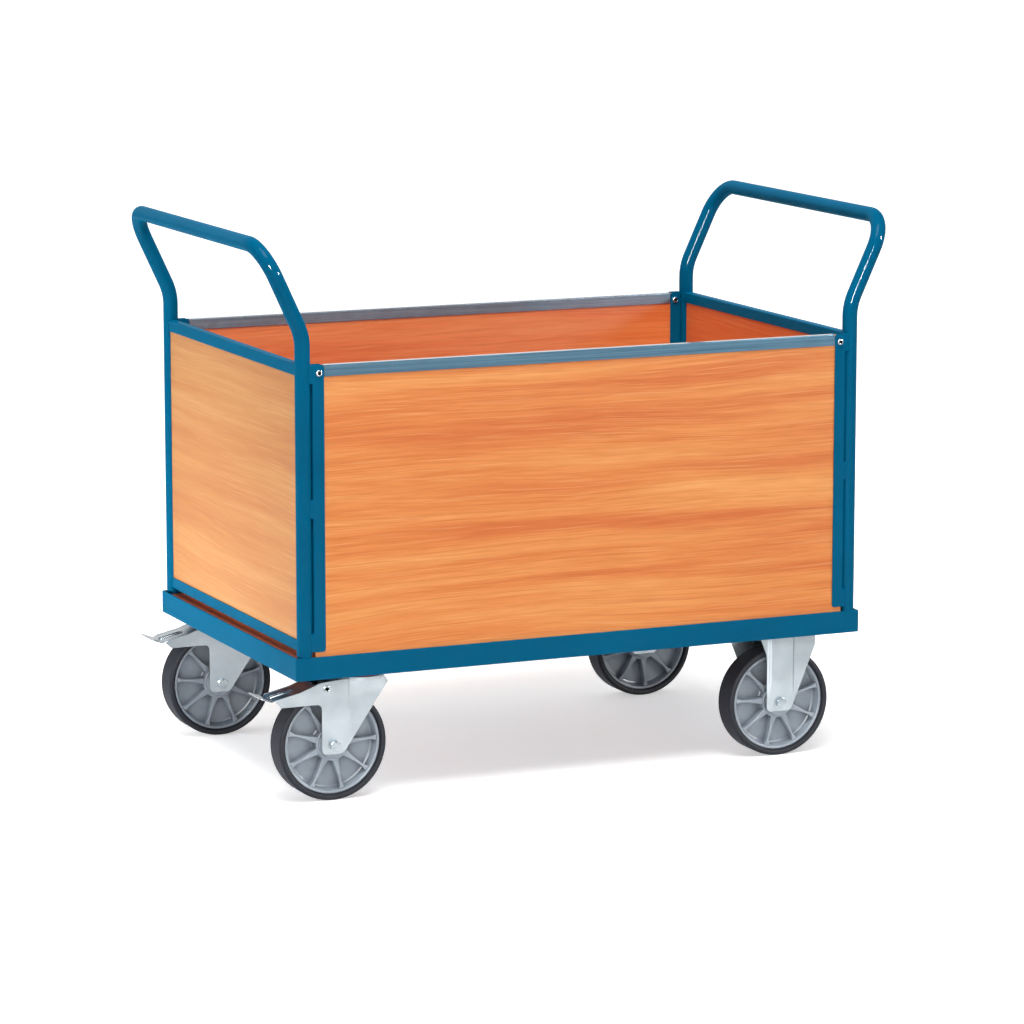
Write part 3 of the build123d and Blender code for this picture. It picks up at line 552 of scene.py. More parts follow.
def mottled_finish(name, patch, detail, dark, pale, gloss, relief=None, metallic=0.0, specular=0.5):
    # A plain finish in soft patches of two tones. Where gloss has two values they run with the patches,
    # and relief is the strength and depth to which the patches stand out.
    made, tree, spot = new_finish(name)
    noise = add(tree, "TexNoise", {"Vector": spot, "Scale": 1 / patch, "Detail": detail})
    patches = noise.outputs["Fac"]
    tone = add(tree, "ValToRGB", {"Fac": patches}, [(0.3, dark), (0.7, pale)])
    sockets = {
        "Base Color": tone.outputs["Color"], "Roughness": gloss, "Metallic": metallic,
        "Specular IOR Level": specular,
    }
    if isinstance(gloss, tuple):
        polish = add(tree, "MapRange", {"Value": patches, "To Min": gloss[0], "To Max": gloss[1]})
        sockets["Roughness"] = polish.outputs["Result"]
    if relief:
        skin = add(tree, "Bump", {"Height": patches, "Strength": relief[0], "Distance": relief[1]})
        sockets["Normal"] = skin.outputs["Normal"]
    shader = add(tree, "BsdfPrincipled", sockets)
    add(tree, "OutputMaterial", {"Surface": shader.outputs["BSDF"]})
    return made


# Electro-zinc with a clear passivate: a bright bluish silver, a little uneven where the bath left it.
zinc_plate = mottled_finish(
    "bright_zinc_plated_steel", 9 * mm, 4.0, "#8F989E", "#9CA5AA", (0.21, 0.26), metallic=1.0,
)
# The bottom of each socket, where the zinc hardly reaches: dull steel, painted near black for the shade in
# the hole.
bare_steel_and_painted_shade = mottled_finish("socket_steel_and_painted_shade", 3 * mm, 2.0, "#101113", "#1D1F22", 0.5, metallic=1.0)


def button_heads(name, node, lift):
    # Four button heads. lift is 1 where they bear on the outer faces of the channels, -1 on the inner.
    low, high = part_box(node)
    heads = bmesh.new()
    for x in (low.x + head_radius, high.x - head_radius):
        for side in (-1, 1):
            socket_floor = head_height - socket_depth
            head = turned([
                (head_radius, 0, 0), (head_radius, head_height, head_round),
                (socket_width / 2, head_height, socket_edge), (socket_width / 2, socket_floor, 0),
                (0, socket_floor, 0),
            ], fastener_steps)
            make_hexagon(head, socket_width / 2, socket_width)
            # Faces inside the socket take the near-black lining, which is painted shade.
            for face in head.faces:
                centre = face.calc_center_median()
                face.material_index = int(centre.xy.length < socket_reach and centre.z < socket_brow)
            bearing_y = side * (high.y - head_height if lift > 0 else channel_inner)
            turn = Matrix.Rotation(-side * lift * pi / 2, 4, "X")
            join(heads, head, Matrix.Translation((x, bearing_y, (low.z + high.z) / 2)) @ turn)
    piece(heads, name, zinc_plate, "zinc_fasteners", node, lining=bare_steel_and_painted_shade)


button_heads("wall_screw_heads", "wall_screws", 1)
button_heads("sleeve_nut_heads", "sleeve_nuts", -1)

# Castor plates, bolts and bearings: the plates are stamped, bolted up through the cross members, and
# the swivel heads turn on a king pin and a ring of balls. They show only from below.
# Polished bearing steel: plain, bright and even, with a thin film of grease.
bearing_steel = mottled_finish(
    "polished_bearing_steel", 6 * mm, 2.0, "#A9ADB0", "#BEC2C4", (0.15, 0.32), metallic=1.0,
)
# Pressed steel, zinc plated after forming: a pale, rather flat silver with soft cloudy patches.
zinc_pressing = mottled_finish(
    "zinc_plated_pressed_steel", 40 * mm, 3.0, "#919A9F", "#9DA5AA", (0.24, 0.36), (0.05, 0.3 * mm),
    metallic=1.0,
)
give_finish(zinc_plate, "plate_bolts", "plate_nuts", "front_king_pin", "back_king_pin")
give_finish(zinc_pressing, "front_swivel_plate", "back_swivel_plate")
give_finish(
    bearing_steel, "front_swivel_balls", "back_swivel_balls", "front_left_bearings", "back_left_bearings",
    "front_right_bearings", "back_right_bearings",
)

# Dust seals: a plastic ring, moulded with a step round its middle, that sits on the crown of each swivel
# fork and keeps dirt from the balls.
seal_width = 11 * mm
seal_lip = 1.2 * mm
seal_step_low, seal_step_high = 0.45, 0.55
crown_steps = 72
# Moulded polyethylene, dyed red through: a soft satin skin.
red_plastic = mottled_finish("red_moulded_polyethylene", 3 * mm, 2.0, "#86111A", "#981822", 0.4)


def upright_axis(node):
    # The place on the floor under the middle of a CAD node.
    low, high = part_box(node)
    return Matrix.Translation(((low.x + high.x) / 2, (low.y + high.y) / 2, 0))


for side_name in sides:
    low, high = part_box(side_name + "_dust_seal")
    outer = (high.x - low.x) / 2
    inner = outer - seal_width
    step_low = low.z + seal_step_low * (high.z - low.z)
    step_high = low.z + seal_step_high * (high.z - low.z)
    seal = turned([
        (inner, low.z, 0), (outer, low.z, seal_lip), (outer, step_low, seal_lip / 2),
        (outer - seal_lip, step_high, seal_lip / 2), (outer - seal_lip, high.z, seal_lip), (inner, high.z, 0),
    ], crown_steps, closed=True)
    bmesh.ops.transform(seal, matrix=upright_axis(side_name + "_dust_seal"), verts=seal.verts)
    piece(seal, side_name + "_seal_ring", red_plastic, "red_seal_plastic", side_name + "_dust_seal")

# Swivel forks: 3 mm steel, blanked and pressed into a crown with two legs, zinc plated. Ahead of a crease
# that dies away downwards each leg steps in and swells out to the crown; behind it a flat arm runs back.
fork_sheet = 3 * mm
fork_outer = 31.5 * mm
sheet_edge = 0.5 * mm
crown_radius = 43 * mm
crown_thickness = 3.5 * mm
crown_lip_inner = 41.2 * mm
crown_lip_height = 2.8 * mm
crown_edge, crown_lip_edge = 0.8 * mm, 0.6 * mm
pin_hole = 7.05 * mm
crown_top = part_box("front_swivel_fork")[1].z
crease_x = -32 * mm
crease_width = 1.4 * mm
crease_step = 1.5 * mm
crease_fade_low, crease_fade_high = 120 * mm, 180 * mm
swell_depth = 30 * mm
swell_start = 14 * mm
swell_grid = 6 * mm
swell_columns, swell_rows, fade_rows = 12, 10, 6
rivet_x, rivet_z = -73.5 * mm, 201 * mm
rivet_hole = 5 * mm
hole_margin, hole_steps = 1.1, 24
swivel_leg = [
    (-172.5, 188, 4), (-123, 199, 25), (-85, 213, 25), (-43, 216.5, 25), (35, 216.5, 3), (42, 206.5, 3),
    (-44, 84, 9), (-83.5, 84, 9), (-83.5, 174.5, 9), (-158, 174.5, 4),
]


def blank(corners):
    # A flat blank in the XZ plane from (x, z, rounding) corners in millimetres.
    bm = bmesh.new()
    verts = [bm.verts.new((x * mm, 0, z * mm)) for x, z, rounding in corners]
    bm.faces.new(verts)
    round_corners(bm, [(v, corner[2] * mm) for v, corner in zip(verts, corners)], corner_steps)
    return bm


def score(bm, normal, places, past=None):
    # Divides a mesh along planes square to an axis, or only its faces past a place on the X axis.
    for place in places:
        faces = [f for f in bm.faces if past is None or f.calc_center_median().x > past]
        edges = {e for f in faces for e in f.edges}
        verts = {v for f in faces for v in f.verts}
        bmesh.ops.bisect_plane(
            bm, geom=[*verts, *edges, *faces], dist=hairline,
            plane_co=Vector(normal) * place, plane_no=normal,
        )


def take_out(bm, target):
    # Takes out the face nearest to a point and returns the edges round the gap.
    cell = min(bm.faces, key=lambda f: (f.calc_center_median() - target).length)
    border = list(cell.edges)
    bmesh.ops.delete(bm, geom=[cell], context="FACES_ONLY")
    return border


def edges_of(verts):
    # The edges that meet at any of the vertices.
    return list({e for v in verts for e in v.link_edges})


def drill(bm, x, z, radius):
    # A round hole through a flat blank in the XZ plane.
    reach = hole_margin * radius
    score(bm, (1, 0, 0), (x - reach, x + reach))
    score(bm, (0, 0, 1), (z - reach, z + reach))
    target = Vector((x, 0, z))
    border = take_out(bm, target)
    turn = Matrix.Translation(target) @ Matrix.Rotation(pi / 2, 4, "X")
    hole = bmesh.ops.create_circle(bm, cap_ends=False, segments=hole_steps, radius=radius, matrix=turn)
    bmesh.ops.bridge_loops(bm, edges=border + edges_of(hole["verts"]))


def thicken(bm, travel):
    # Gives a blank its thickness.
    made = bmesh.ops.extrude_face_region(bm, geom=bm.faces[:])["geom"]
    bmesh.ops.translate(bm, vec=travel, verts=of_kind(made, bmesh.types.BMVert))
    bmesh.ops.recalc_face_normals(bm, faces=bm.faces)


def break_edges(bm):
    # Takes the sharpness off the edges of pressed sheet.
    round_edges(bm, sharp_edges(bm), sheet_edge, thin_edge_steps)


def steps_between(start, end, count):
    # Evenly spaced places from start to end.
    return [start + (end - start) * step / count for step in range(count + 1)]


def ease(value, start, end):
    # A smooth step from 0 at start to 1 at end.
    share = min(max((value - start) / (end - start), 0), 1)
    return share * share * (3 - 2 * share)


def swivel_leg_mesh():
    # The front leg, its outer face towards -Y, with the swivel axis at X 0.
    leg = blank(swivel_leg)
    drill(leg, rivet_x, rivet_z, rivet_hole)
    score(leg, (1, 0, 0), (crease_x - crease_width, crease_x))
    columns = steps_between(crease_x, crease_x + swell_columns * swell_grid, swell_columns)
    score(leg, (1, 0, 0), columns[1:], crease_x)
    rows = steps_between(crown_top - swell_depth, crown_top, swell_rows)
    score(leg, (0, 0, 1), rows[:-1], crease_x)
    fades = steps_between(crease_fade_low, crease_fade_high, fade_rows)
    score(leg, (0, 0, 1), fades, crease_x - 2 * crease_width)
    for v in leg.verts:
        fade = ease(v.co.z, crease_fade_low, crease_fade_high)
        step_in = crease_step * fade * ease(v.co.x, crease_x - crease_width, crease_x)
        outer = fork_outer - step_in
        rim_reach = sqrt(max(crown_radius ** 2 - v.co.x ** 2, 0)) - outer
        height = min(max((v.co.z - crown_top + swell_depth) / swell_depth, 0), 1)
        swell = max(rim_reach, 0) * (1 - sqrt(1 - height ** 2))
        v.co.y = -outer - swell * ease(v.co.x, crease_x, crease_x + swell_start)
    thicken(leg, (0, fork_sheet, 0))
    break_edges(leg)
    return leg


other_side = Matrix.Scale(-1, 4, (0, 1, 0))
for side_name in sides:
    axis_place = upright_axis(side_name + "_king_pin")
    fork = bmesh.new()
    join(fork, swivel_leg_mesh(), axis_place)
    join(fork, swivel_leg_mesh(), axis_place @ other_side)
    crown_under = crown_top - crown_thickness
    lip_top = crown_top + crown_lip_height
    crown = turned([
        (pin_hole, crown_under, 0), (crown_radius, crown_under, crown_edge),
        (crown_radius, lip_top, crown_edge), (crown_lip_inner, lip_top, crown_lip_edge),
        (crown_lip_inner, crown_top, 0), (pin_hole, crown_top, 0),
    ], crown_steps, closed=True)
    join(fork, crown, axis_place)
    piece(fork, side_name + "_swivel_yoke", zinc_pressing, "zinc_plated_pressing", side_name + "_swivel_fork")

# Brake pedals: 2.4 mm steel bent down from its pivot and up again at the tip, with a slot ringed by a
# raised lip, side flanges with ears on the rivets, and a rubber shoe under its inner end.
pedal_sheet = 2.4 * mm
pedal_half_width = 28.1 * mm
pedal_tip_half_width = 32 * mm
pedal_inner_x, pedal_inner_z = -93 * mm, 209.5 * mm
pedal_knee_x, pedal_knee_z = -123 * mm, 198.5 * mm
pedal_root_x, pedal_root_z = -175.5 * mm, 186.8 * mm
pedal_tip_x, pedal_tip_z = -197.5 * mm, 195.3 * mm
pedal_slopes = [
    (pedal_knee_z - pedal_inner_z) / (pedal_knee_x - pedal_inner_x),
    (pedal_root_z - pedal_knee_z) / (pedal_root_x - pedal_knee_x),
    (pedal_tip_z - pedal_root_z) / (pedal_tip_x - pedal_root_x),
]
pedal_bend = 3 * mm
pedal_bend_steps = 4
tip_round = 5 * mm
slot_x, slot_z = (pedal_knee_x + pedal_root_x) / 2, (pedal_knee_z + pedal_root_z) / 2
slot_half_straight = 18 * mm
slot_radius = 4 * mm
lip_width = 2 * mm
lip_height = 1.2 * mm
lip_inner_reach, lip_inner_drop = 0.35 * mm, 0.3 * mm
lip_chamfer = 0.6 * mm
slot_steps = 26
ear_round = 8.4
flange_outline = [
    (-65, 209.5, ear_round), (-93, 209.2, 0), (-123, 198.2, 8), (-158, 190.4, 1), (-158, 181.7, 3),
    (-123, 189.5, 8), (-65, 192.5, ear_round),
]


def pedal_height(x):
    # Height of the pedal's top face, with each of its two bends drawn as a short curve.
    height = pedal_inner_z + pedal_slopes[0] * (x - pedal_inner_x)
    for place, before, after in ((pedal_knee_x, *pedal_slopes[:2]), (pedal_root_x, *pedal_slopes[1:])):
        past = place - x
        if past < pedal_bend:
            past = max(past + pedal_bend, 0) ** 2 / (4 * pedal_bend)
        height -= (after - before) * past
    return height


def slot_ring(bm, radius, lift):
    # A slot-shaped ring of edges round the pedal's slot, following the slope of the pedal.
    made = bmesh.ops.create_circle(bm, cap_ends=False, segments=slot_steps, radius=radius)["verts"]
    for v in made:
        v.co.x += slot_x + (slot_half_straight if v.co.x > 0 else -slot_half_straight)
        v.co.z = pedal_height(v.co.x) + lift
    return edges_of(made)


def pedal_plate():
    # The bent plate with its slot.
    bm = bmesh.new()
    half = [
        (pedal_inner_x, pedal_half_width), (pedal_root_x, pedal_half_width),
        (pedal_root_x, pedal_tip_half_width), (pedal_tip_x, pedal_tip_half_width),
    ]
    outline = half + [(x, -y) for x, y in reversed(half)]
    verts = [bm.verts.new((x, y, 0)) for x, y in outline]
    bm.faces.new(verts)
    round_corners(bm, [(v, tip_round) for v in verts if v.co.x == verts[3].co.x], corner_steps)
    for bend_x in (pedal_knee_x, pedal_root_x):
        score(bm, (1, 0, 0), steps_between(bend_x - pedal_bend, bend_x + pedal_bend, pedal_bend_steps))
    for v in bm.verts:
        v.co.z = pedal_height(v.co.x)
    border = take_out(bm, Vector((slot_x, 0, slot_z)))
    bmesh.ops.bridge_loops(bm, edges=border + slot_ring(bm, slot_radius, 0))
    thicken(bm, (0, 0, -pedal_sheet))
    break_edges(bm)
    return bm


def slot_lip():
    # The raised lip, drawn up round the slot.
    bm = bmesh.new()
    section = [
        (0, -pedal_sheet / 2), (0, lip_height - lip_inner_drop), (lip_inner_reach, lip_height),
        (lip_width - lip_chamfer, lip_height), (lip_width, lip_height - lip_chamfer),
        (lip_width, -pedal_sheet / 2),
    ]
    rings = [slot_ring(bm, slot_radius + reach, lift) for reach, lift in section]
    for one, other in zip(rings, rings[1:] + rings[:1]):
        bmesh.ops.bridge_loops(bm, edges=one + other)
    return bm


def pedal_flange():
    # The front flange with its ear, its outer face towards -Y.
    bm = blank(flange_outline)
    drill(bm, rivet_x, rivet_z, rivet_hole)
    bmesh.ops.translate(bm, vec=(0, -pedal_half_width, 0), verts=bm.verts)
    thicken(bm, (0, pedal_sheet, 0))
    break_edges(bm)
    return bm


# Black moulded brake rubber: matt, with a fine bloom.
brake_rubber = mottled_finish("black_moulded_rubber", 4 * mm, 3.0, "#222224", "#303033", 0.75)
give_finish(brake_rubber, "front_brake_shoe", "back_brake_shoe")
for side_name in sides:
    axis_place = upright_axis(side_name + "_king_pin")
    pedal = bmesh.new()
    join(pedal, pedal_plate(), axis_place)
    join(pedal, slot_lip(), axis_place)
    join(pedal, pedal_flange(), axis_place)
    join(pedal, pedal_flange(), axis_place @ other_side)
    piece(pedal, side_name + "_foot_pedal", zinc_plate, "zinc_plated_pressing", side_name + "_brake_pedal")

# Brake rivets: short hollow rivets set through the fork's legs and the pedal's ears, their outer ends
# rolled over into a thin round rim.
rivet_head = 6.5 * mm
rivet_head_height = 1 * mm
rivet_bore = 3.5 * mm
rivet_under_round, rivet_rim_round, rivet_bore_round = 0.2 * mm, 0.7 * mm, 0.5 * mm
for side_name in sides:
    low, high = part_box(side_name + "_brake_rivets")
    centre = (low + high) / 2
    half_width = (high.y - low.y) / 2
    rivets = bmesh.new()
    for side in (-1, 1):
        length = half_width - pedal_half_width + pedal_sheet
        shoulder = length - rivet_head_height
        rivet = turned([
            (rivet_bore, 0, 0), (rivet_hole, 0, 0), (rivet_hole, shoulder, 0),
            (rivet_head, shoulder, rivet_under_round), (rivet_head, length, rivet_rim_round),
            (rivet_bore, length, rivet_bore_round),
        ], fastener_steps, closed=True)
        start = Matrix.Translation((centre.x, centre.y + side * (half_width - length), centre.z))
        join(rivets, rivet, start @ Matrix.Rotation(-side * pi / 2, 4, "X"))
    piece(rivets, side_name + "_pedal_rivets", zinc_plate, "zinc_fasteners", side_name + "_brake_rivets")

# Fixed forks: a plate with two pressed legs welded under it, zinc plated. A panel is pressed outwards down
# the middle of each leg and runs out flat round the axle; one side carries a wide wing at the top.
panel_half_width = 28 * mm
panel_slope = 7 * mm
panel_depth = 5 * mm
panel_fade_low, panel_fade_high = 95 * mm, 145 * mm
panel_columns, panel_rows = 6, 8
plate_corner = 8 * mm
plate_under = 231 * mm
fixed_leg = [(-28, 84, 9), (-28, 186, 40), (-45, 231, 0), (70, 231, 0), (70, 203, 6), (21, 84, 9)]


def fixed_leg_mesh():
    # The front leg, its outer face towards -Y, with the axle at X 0.
    leg = blank(fixed_leg)
    slopes = steps_between(panel_half_width, panel_half_width - panel_slope, panel_columns)
    score(leg, (1, 0, 0), slopes + [-place for place in slopes])
    score(leg, (0, 0, 1), steps_between(panel_fade_low, panel_fade_high, panel_rows))
    for v in leg.verts:
        proud = 1 - ease(abs(v.co.x), panel_half_width - panel_slope, panel_half_width)
        v.co.y = -fork_outer - panel_depth * proud * ease(v.co.z, panel_fade_low, panel_fade_high)
    thicken(leg, (0, fork_sheet, 0))
    break_edges(leg)
    return leg


for side_name in sides:
    low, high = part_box(side_name + "_fixed_fork")
    fork = block((low.x, low.y, plate_under), high)
    round_edges(fork, upright_edges(fork), plate_corner, corner_steps)
    break_edges(fork)
    axle_place = upright_axis(side_name + "_fixed_fork")
    join(fork, fixed_leg_mesh(), axle_place)
    join(fork, fixed_leg_mesh(), axle_place @ Matrix.Rotation(pi, 4, "Z"))
    piece(fork, side_name + "_fixed_yoke", zinc_pressing, "zinc_plated_pressing", side_name + "_fixed_fork")

# Wheel rims: moulded in one shot, with nine ribs on each face of a thin web, swelling into the hub and the
# rim band, and drafted so that they leave the mould.
bore_radius = 9.1 * mm
bearing_radius, bearing_floor = 14 * mm, 19.5 * mm
hub_radius, hub_face = 24 * mm, 28 * mm
collar_top, collar_foot = 30 * mm, 31.5 * mm
web_half = 4 * mm
band_foot, band_top, band_radius = 79.5 * mm, 84.4 * mm, 88.7 * mm
rim_face = 20 * mm
wheel_steps = 120
rib_count = 9
rib_face = 18.5 * mm
rib_hub_half_width = 6.5 * mm
rib_middle_half_width = 1.6 * mm
rib_root_spread = 1.35
rib_taper, rib_spread = 2.4, 2
rib_start, rib_end = 27 * mm, 83.5 * mm
rib_flare_start = 74 * mm
rib_flare = 3.2 * mm
rib_edge = 0.7 * mm
rib_steps = 14
wheel_turns = {"front_left": 3, "back_left": 13, "front_right": 16, "back_right": 35}
# Impact-resistant polyamide, dyed mid grey: a satin moulded skin with faint flow marks from the hub, with
# painted shade that darkens it in the corners of the pockets.
grey_plastic, tree, spot = new_finish("grey_moulded_polyamide")
flow = add(tree, "TexNoise", {"Vector": spot, "Scale": 1 / (35 * mm), "Detail": 4.0})
grit = add(tree, "TexNoise", {"Vector": spot, "Scale": 1 / (2.5 * mm), "Detail": 2.0})
tone = add(tree, "ValToRGB", {"Fac": flow.outputs["Fac"]}, [(0.3, "#929DA8"), (0.7, "#9CA7B2")])
# Painted shade: the corners of the pockets, found by ambient occlusion, are coloured darker.
corners = add(tree, "AmbientOcclusion", {"Distance": 18 * mm}, samples=8)
painted_pocket_shade = add(tree, "ValToRGB", {"Fac": corners.outputs["AO"]}, [(0.3, "#8A8D92"), (0.8, "#FFFFFF")])
tone_and_painted_shade = add(tree, "Mix", {
    0: 1.0, 6: tone.outputs["Color"], 7: painted_pocket_shade.outputs["Color"],
}, data_type="RGBA", blend_type="MULTIPLY")
gloss = add(tree, "MapRange", {"Value": flow.outputs["Fac"], "To Min": 0.4, "To Max": 0.52})
skin = add(tree, "Bump", {"Height": grit.outputs["Fac"], "Strength": 0.1, "Distance": 0.2 * mm})
shader = add(tree, "BsdfPrincipled", {
    "Base Color": tone_and_painted_shade.outputs[2], "Roughness": gloss.outputs["Result"], "Specular IOR Level": 0.4,
    "Normal": skin.outputs["Normal"],
})
add(tree, "OutputMaterial", {"Surface": shader.outputs["BSDF"]})


def rib_half_width(radius):
    # A rib is widest at the hub, thin along its middle and spreads again into the rim band.
    taper = max((rib_end - radius) / (rib_end - rib_start), 0) ** rib_taper
    flare = ease(radius, rib_flare_start, rib_end) ** rib_spread
    return rib_middle_half_width + (rib_hub_half_width - rib_middle_half_width) * taper + rib_flare * flare


def wheel_ribs():
    # The ribs on one face of the web, about the Z axis.
    bm = block((rib_start, -1, 0), (rib_end, 1, rib_face))
    score(bm, (1, 0, 0), steps_between(rib_start, rib_end, rib_steps)[1:-1])
    for v in bm.verts:
        v.co.y *= rib_half_width(v.co.x) * (rib_root_spread if v.co.z < rib_face / 2 else 1)
    top_sides = [e for e in sharp_edges(bm) if all(v.co.z > rib_face / 2 for v in e.verts)]
    round_edges(bm, top_sides, rib_edge, edge_steps)
    whole = bm.verts[:] + bm.edges[:] + bm.faces[:]
    share = (rib_count - 1) / rib_count
    bmesh.ops.spin(
        bm, geom=whole, cent=(0, 0, 0), axis=(0, 0, 1), angle=2 * pi * share, steps=rib_count - 1,
        use_duplicate=True,
    )
    return bm


def both_halves(half_section):
    # A turned section, from the half of it on one side of the middle.
    return half_section + [(radius, -height, rounding) for radius, height, rounding in reversed(half_section)]


rim_section = both_halves([
    (bearing_radius, bearing_floor, 0), (bearing_radius, hub_face, 0.5 * mm),
    (hub_radius, hub_face, 1.5 * mm), (hub_radius, rim_face, 1 * mm),
    (collar_top, rim_face, 1.5 * mm), (collar_foot, web_half, 3 * mm),
    (band_foot, web_half, 4 * mm), (band_top, rim_face, 1.6 * mm), (band_radius, rim_face, 1 * mm),
])
bore_section = [(bore_radius, -bearing_floor, 0), (bore_radius, bearing_floor, 0)]
axle_to_y = Matrix.Rotation(pi / 2, 4, "X")


def middle_of(node):
    # The place in the middle of a CAD node.
    low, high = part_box(node)
    return Matrix.Translation((low + high) / 2)


for corner, turn in wheel_turns.items():
    wheel = turned(rim_section + bore_section, wheel_steps, closed=True)
    join(wheel, wheel_ribs())
    join(wheel, wheel_ribs(), Matrix.Rotation(pi, 4, "X"))
    place = middle_of(corner + "_rim") @ Matrix.Rotation(-radians(turn), 4, "Y") @ axle_to_y
    bmesh.ops.transform(wheel, matrix=place, verts=wheel.verts)
    piece(wheel, corner + "_wheel_rim", grey_plastic, "grey_wheel_plastic", corner + "_rim")

# Tyres: solid elastic rubber, vulcanised onto the rim in a mould, with a flat tread, round shoulders and
# sides that slope in to the lip of the rim.
tyre_radius = 100 * mm
tyre_seat = 88.75 * mm
tyre_half_width = 25 * mm
seat_half_width = 20.4 * mm
slope_reach = 3.4 * mm
slope_round = 2.5 * mm
shoulder_round = 4.2 * mm
tyre_steps = 144
# Non-marking dark grey rubber: matt, faintly mottled, a little polished on the tread.
tyre_rubber = mottled_finish(
    "dark_grey_solid_rubber", 14 * mm, 5.0, "#23252C", "#2A2D35", (0.58, 0.72), (0.08, 0.3 * mm),
    specular=0.1,
)
tyre_section = both_halves([
    (tyre_seat, seat_half_width, 0), (tyre_seat + slope_reach, tyre_half_width, slope_round),
    (tyre_radius, tyre_half_width, shoulder_round),
])
for corner in wheel_turns:
    tyre = turned(tyre_section, tyre_steps, closed=True)
    bmesh.ops.transform(tyre, matrix=middle_of(corner + "_tyre") @ axle_to_y, verts=tyre.verts)
    piece(tyre, corner + "_wheel_tyre", tyre_rubber, "grey_solid_rubber", corner + "_tyre")

# Axle bolts and nuts: hexagon bolts through the fork and the hub, heads to the front, with locking nuts
# behind. Forged, zinc plated.
bolt_radius = 6 * mm
bolt_width = 18 * mm
bolt_head_height = 7.5 * mm
nut_height = 10 * mm
bolt_tail = 2 * mm
tail_chamfer = 1 * mm
thread_play = 0.05 * mm
nut_bore_round = 0.5 * mm
hexagon_ring = 10.5 * mm
chamfer_ring = 8.6 * mm
chamfer_drop = 0.2 * mm
fork_width = 2 * fork_outer


def axle_bolt():
    # A bolt along the Z axis, its head bearing on Z 0.
    tail = -fork_width - nut_height - bolt_tail
    bm = turned([
        (0, tail, 0), (bolt_radius, tail, tail_chamfer), (bolt_radius, 0, 0), (hexagon_ring, 0, 0),
        (hexagon_ring, bolt_head_height - chamfer_drop, 0), (chamfer_ring, bolt_head_height, 0),
        (0, bolt_head_height, 0),
    ], fastener_steps)
    make_hexagon(bm, hexagon_ring, bolt_width, bolt_head_height - chamfer_drop)
    return bm


def axle_nut():
    # A nut along the Z axis that starts at Z 0.
    bm = turned([
        (bolt_radius + thread_play, 0, 0), (hexagon_ring, 0, 0), (hexagon_ring, nut_height - chamfer_drop, 0),
        (chamfer_ring, nut_height, 0), (bolt_radius + thread_play, nut_height, nut_bore_round),
    ], fastener_steps, closed=True)
    make_hexagon(bm, hexagon_ring, bolt_width, nut_height - chamfer_drop)
    return bm


axle_groups = {
    "front_swivel_axle": ["front_left"], "back_swivel_axle": ["back_left"],
    "fixed_axle": ["front_right", "back_right"],
}
for name, corners in axle_groups.items():
    bolts, nuts = bmesh.new(), bmesh.new()
    for corner in corners:
        axle = middle_of(corner + "_tyre")
        join(bolts, axle_bolt(), axle @ Matrix.Translation((0, -fork_outer, 0)) @ axle_to_y)
        join(nuts, axle_nut(), axle @ Matrix.Translation((0, fork_outer, 0)) @ axle_to_y.inverted())
    fixed = name == "fixed_axle"
    piece(bolts, name + "_bolt", zinc_plate, "zinc_fasteners", name + "s" if fixed else name)
    piece(nuts, name + "_locknut", zinc_plate, "zinc_fasteners", name + "_nuts" if fixed else name + "_nut")

# Studio: a white floor that runs out of sight, a pale room with a bright backdrop, soft boxes above and at
# the left, and two that show only as gloss. The lens and the camera's place are those of the photograph.
floor_size = 80
glow_start, glow_end, glow_least, glow_most = 1.0, 3.0, 0.47, 0.7
mirror_start, mirror_end, mirror_glow = 0.8, 1.3, 0.75
# White paper that the camera sees brighter than its light makes it, more so farther out, until only the
# shadow is left on it. Close in, the gloss of the part sees it brighter too.
floor_white, tree, spot = new_finish("white_studio_floor")
paper = add(tree, "BsdfDiffuse", {"Color": srgb("#FAFAFA")})
path = add(tree, "LightPath")
reach = add(tree, "VectorMath", {0: spot}, operation="LENGTH")
spread = add(tree, "MapRange", {
    "Value": reach.outputs["Value"], "From Min": glow_start, "From Max": glow_end,
    "To Min": glow_least, "To Max": glow_most,
})
nearby = add(tree, "MapRange", {
    "Value": reach.outputs["Value"], "From Min": mirror_start, "From Max": mirror_end,
    "To Min": mirror_glow, "To Max": 0.0,
})
mirrored = add(tree, "Math", {
    0: path.outputs["Is Glossy Ray"], 1: nearby.outputs["Result"],
}, operation="MULTIPLY")
lift = add(tree, "Math", {
    0: path.outputs["Is Camera Ray"], 1: spread.outputs["Result"], 2: mirrored.outputs["Value"],
}, operation="MULTIPLY_ADD")
glow = add(tree, "Emission", {"Strength": lift.outputs["Value"]})
shader = add(tree, "AddShader", {0: paper.outputs["BSDF"], 1: glow.outputs["Emission"]})
add(tree, "OutputMaterial", {"Surface": shader.outputs["Shader"]})
ground = bmesh.new()
bmesh.ops.create_grid(ground, x_segments=1, y_segments=1, size=floor_size / 2)
floor_mesh = bpy.data.meshes.new("studio_floor")
ground.to_mesh(floor_mesh)
ground.free()
floor_mesh.materials.append(floor_white)
floor = bpy.data.objects.new("studio_floor", floor_mesh)
bpy.context.scene.collection.objects.link(floor)

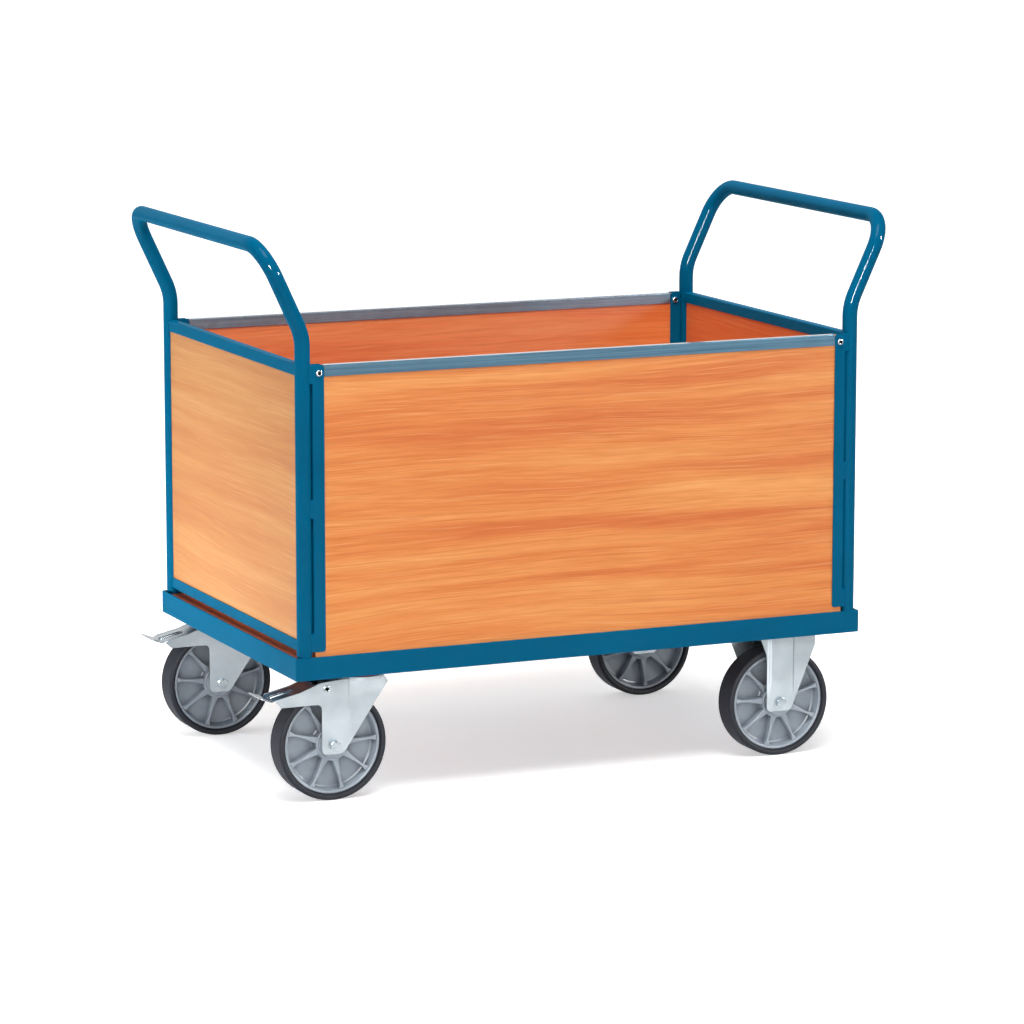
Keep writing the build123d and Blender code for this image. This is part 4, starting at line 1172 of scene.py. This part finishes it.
room_light = 0.4
backdrop_light = 1.2
backdrop_start, backdrop_full = 0.5, 0.9
world = bpy.data.worlds.new("studio_room")
world.use_nodes = True
world.node_tree.nodes.clear()
tree = world.node_tree
path = add(tree, "LightPath")
straight = add(tree, "Math", {
    0: path.outputs["Is Camera Ray"], 1: path.outputs["Is Transmission Ray"],
}, operation="MAXIMUM")
direction = add(tree, "SeparateXYZ", {"Vector": add(tree, "TexCoord").outputs["Generated"]})
backdrop = add(tree, "MapRange", {
    "Value": direction.outputs["Y"], "From Min": backdrop_start, "From Max": backdrop_full,
    "To Min": room_light, "To Max": backdrop_light,
})
level = add(tree, "MapRange", {
    "Value": straight.outputs["Value"], "To Min": backdrop.outputs["Result"], "To Max": 1.0,
})
room = add(tree, "Background", {"Color": srgb("#FFFFFF"), "Strength": level.outputs["Result"]})
add(tree, "OutputWorld", {"Surface": room.outputs["Background"]})
bpy.context.scene.world = world


def lamp(name, place, target, size, power, colours=True, gloss=True):
    # A square soft box aimed at a point, which lights the colours, shows as gloss, or both.
    light = bpy.data.lights.new(name, "AREA")
    light.shape = "SQUARE"
    light.size = size
    light.energy = power
    made = bpy.data.objects.new(name, light)
    made.location = place
    made.rotation_euler = (Vector(target) - Vector(place)).to_track_quat("-Z", "Y").to_euler()
    made.visible_camera = False
    made.visible_diffuse = colours
    made.visible_glossy = gloss
    bpy.context.scene.collection.objects.link(made)


lamp("top_soft_box", (-0.8, -2.2, 6), (0, 0, 0.5), 3.2, 400)
lamp("left_soft_box", (-4.5, 0.6, 1.4), (0, 0, 0.5), 1.6, 6, gloss=False)
lamp("low_bounce_box", (-1.3, 0.25, 0.2), (-0.5, 0.05, 0.35), 0.5, 6.5, gloss=False)
lamp("camera_gloss_box", (-3.6, -7.0, 2.9), (0, 0, 0.5), 1.8, 3000, colours=False)
lamp("right_gloss_box", (4.2, -3.4, 2.4), (0, 0, 0.6), 0.9, 1100, colours=False)

lens_pixels = 4421.32
picture_pixels = 1024
yaw, pitch = 0.4168, 0.1706
eye = bpy.data.cameras.new("photo_camera")
eye.sensor_width = 36
eye.lens = lens_pixels / picture_pixels * eye.sensor_width
eye.clip_end = 200
camera = bpy.data.objects.new("photo_camera", eye)
camera.location = (-3.2352, -7.3329, 1.8116)
camera.rotation_euler = (pi / 2 - pitch, 0, -yaw)
bpy.context.scene.collection.objects.link(camera)
bpy.context.scene.camera = camera
bpy.context.scene.view_settings.view_transform = "Standard"
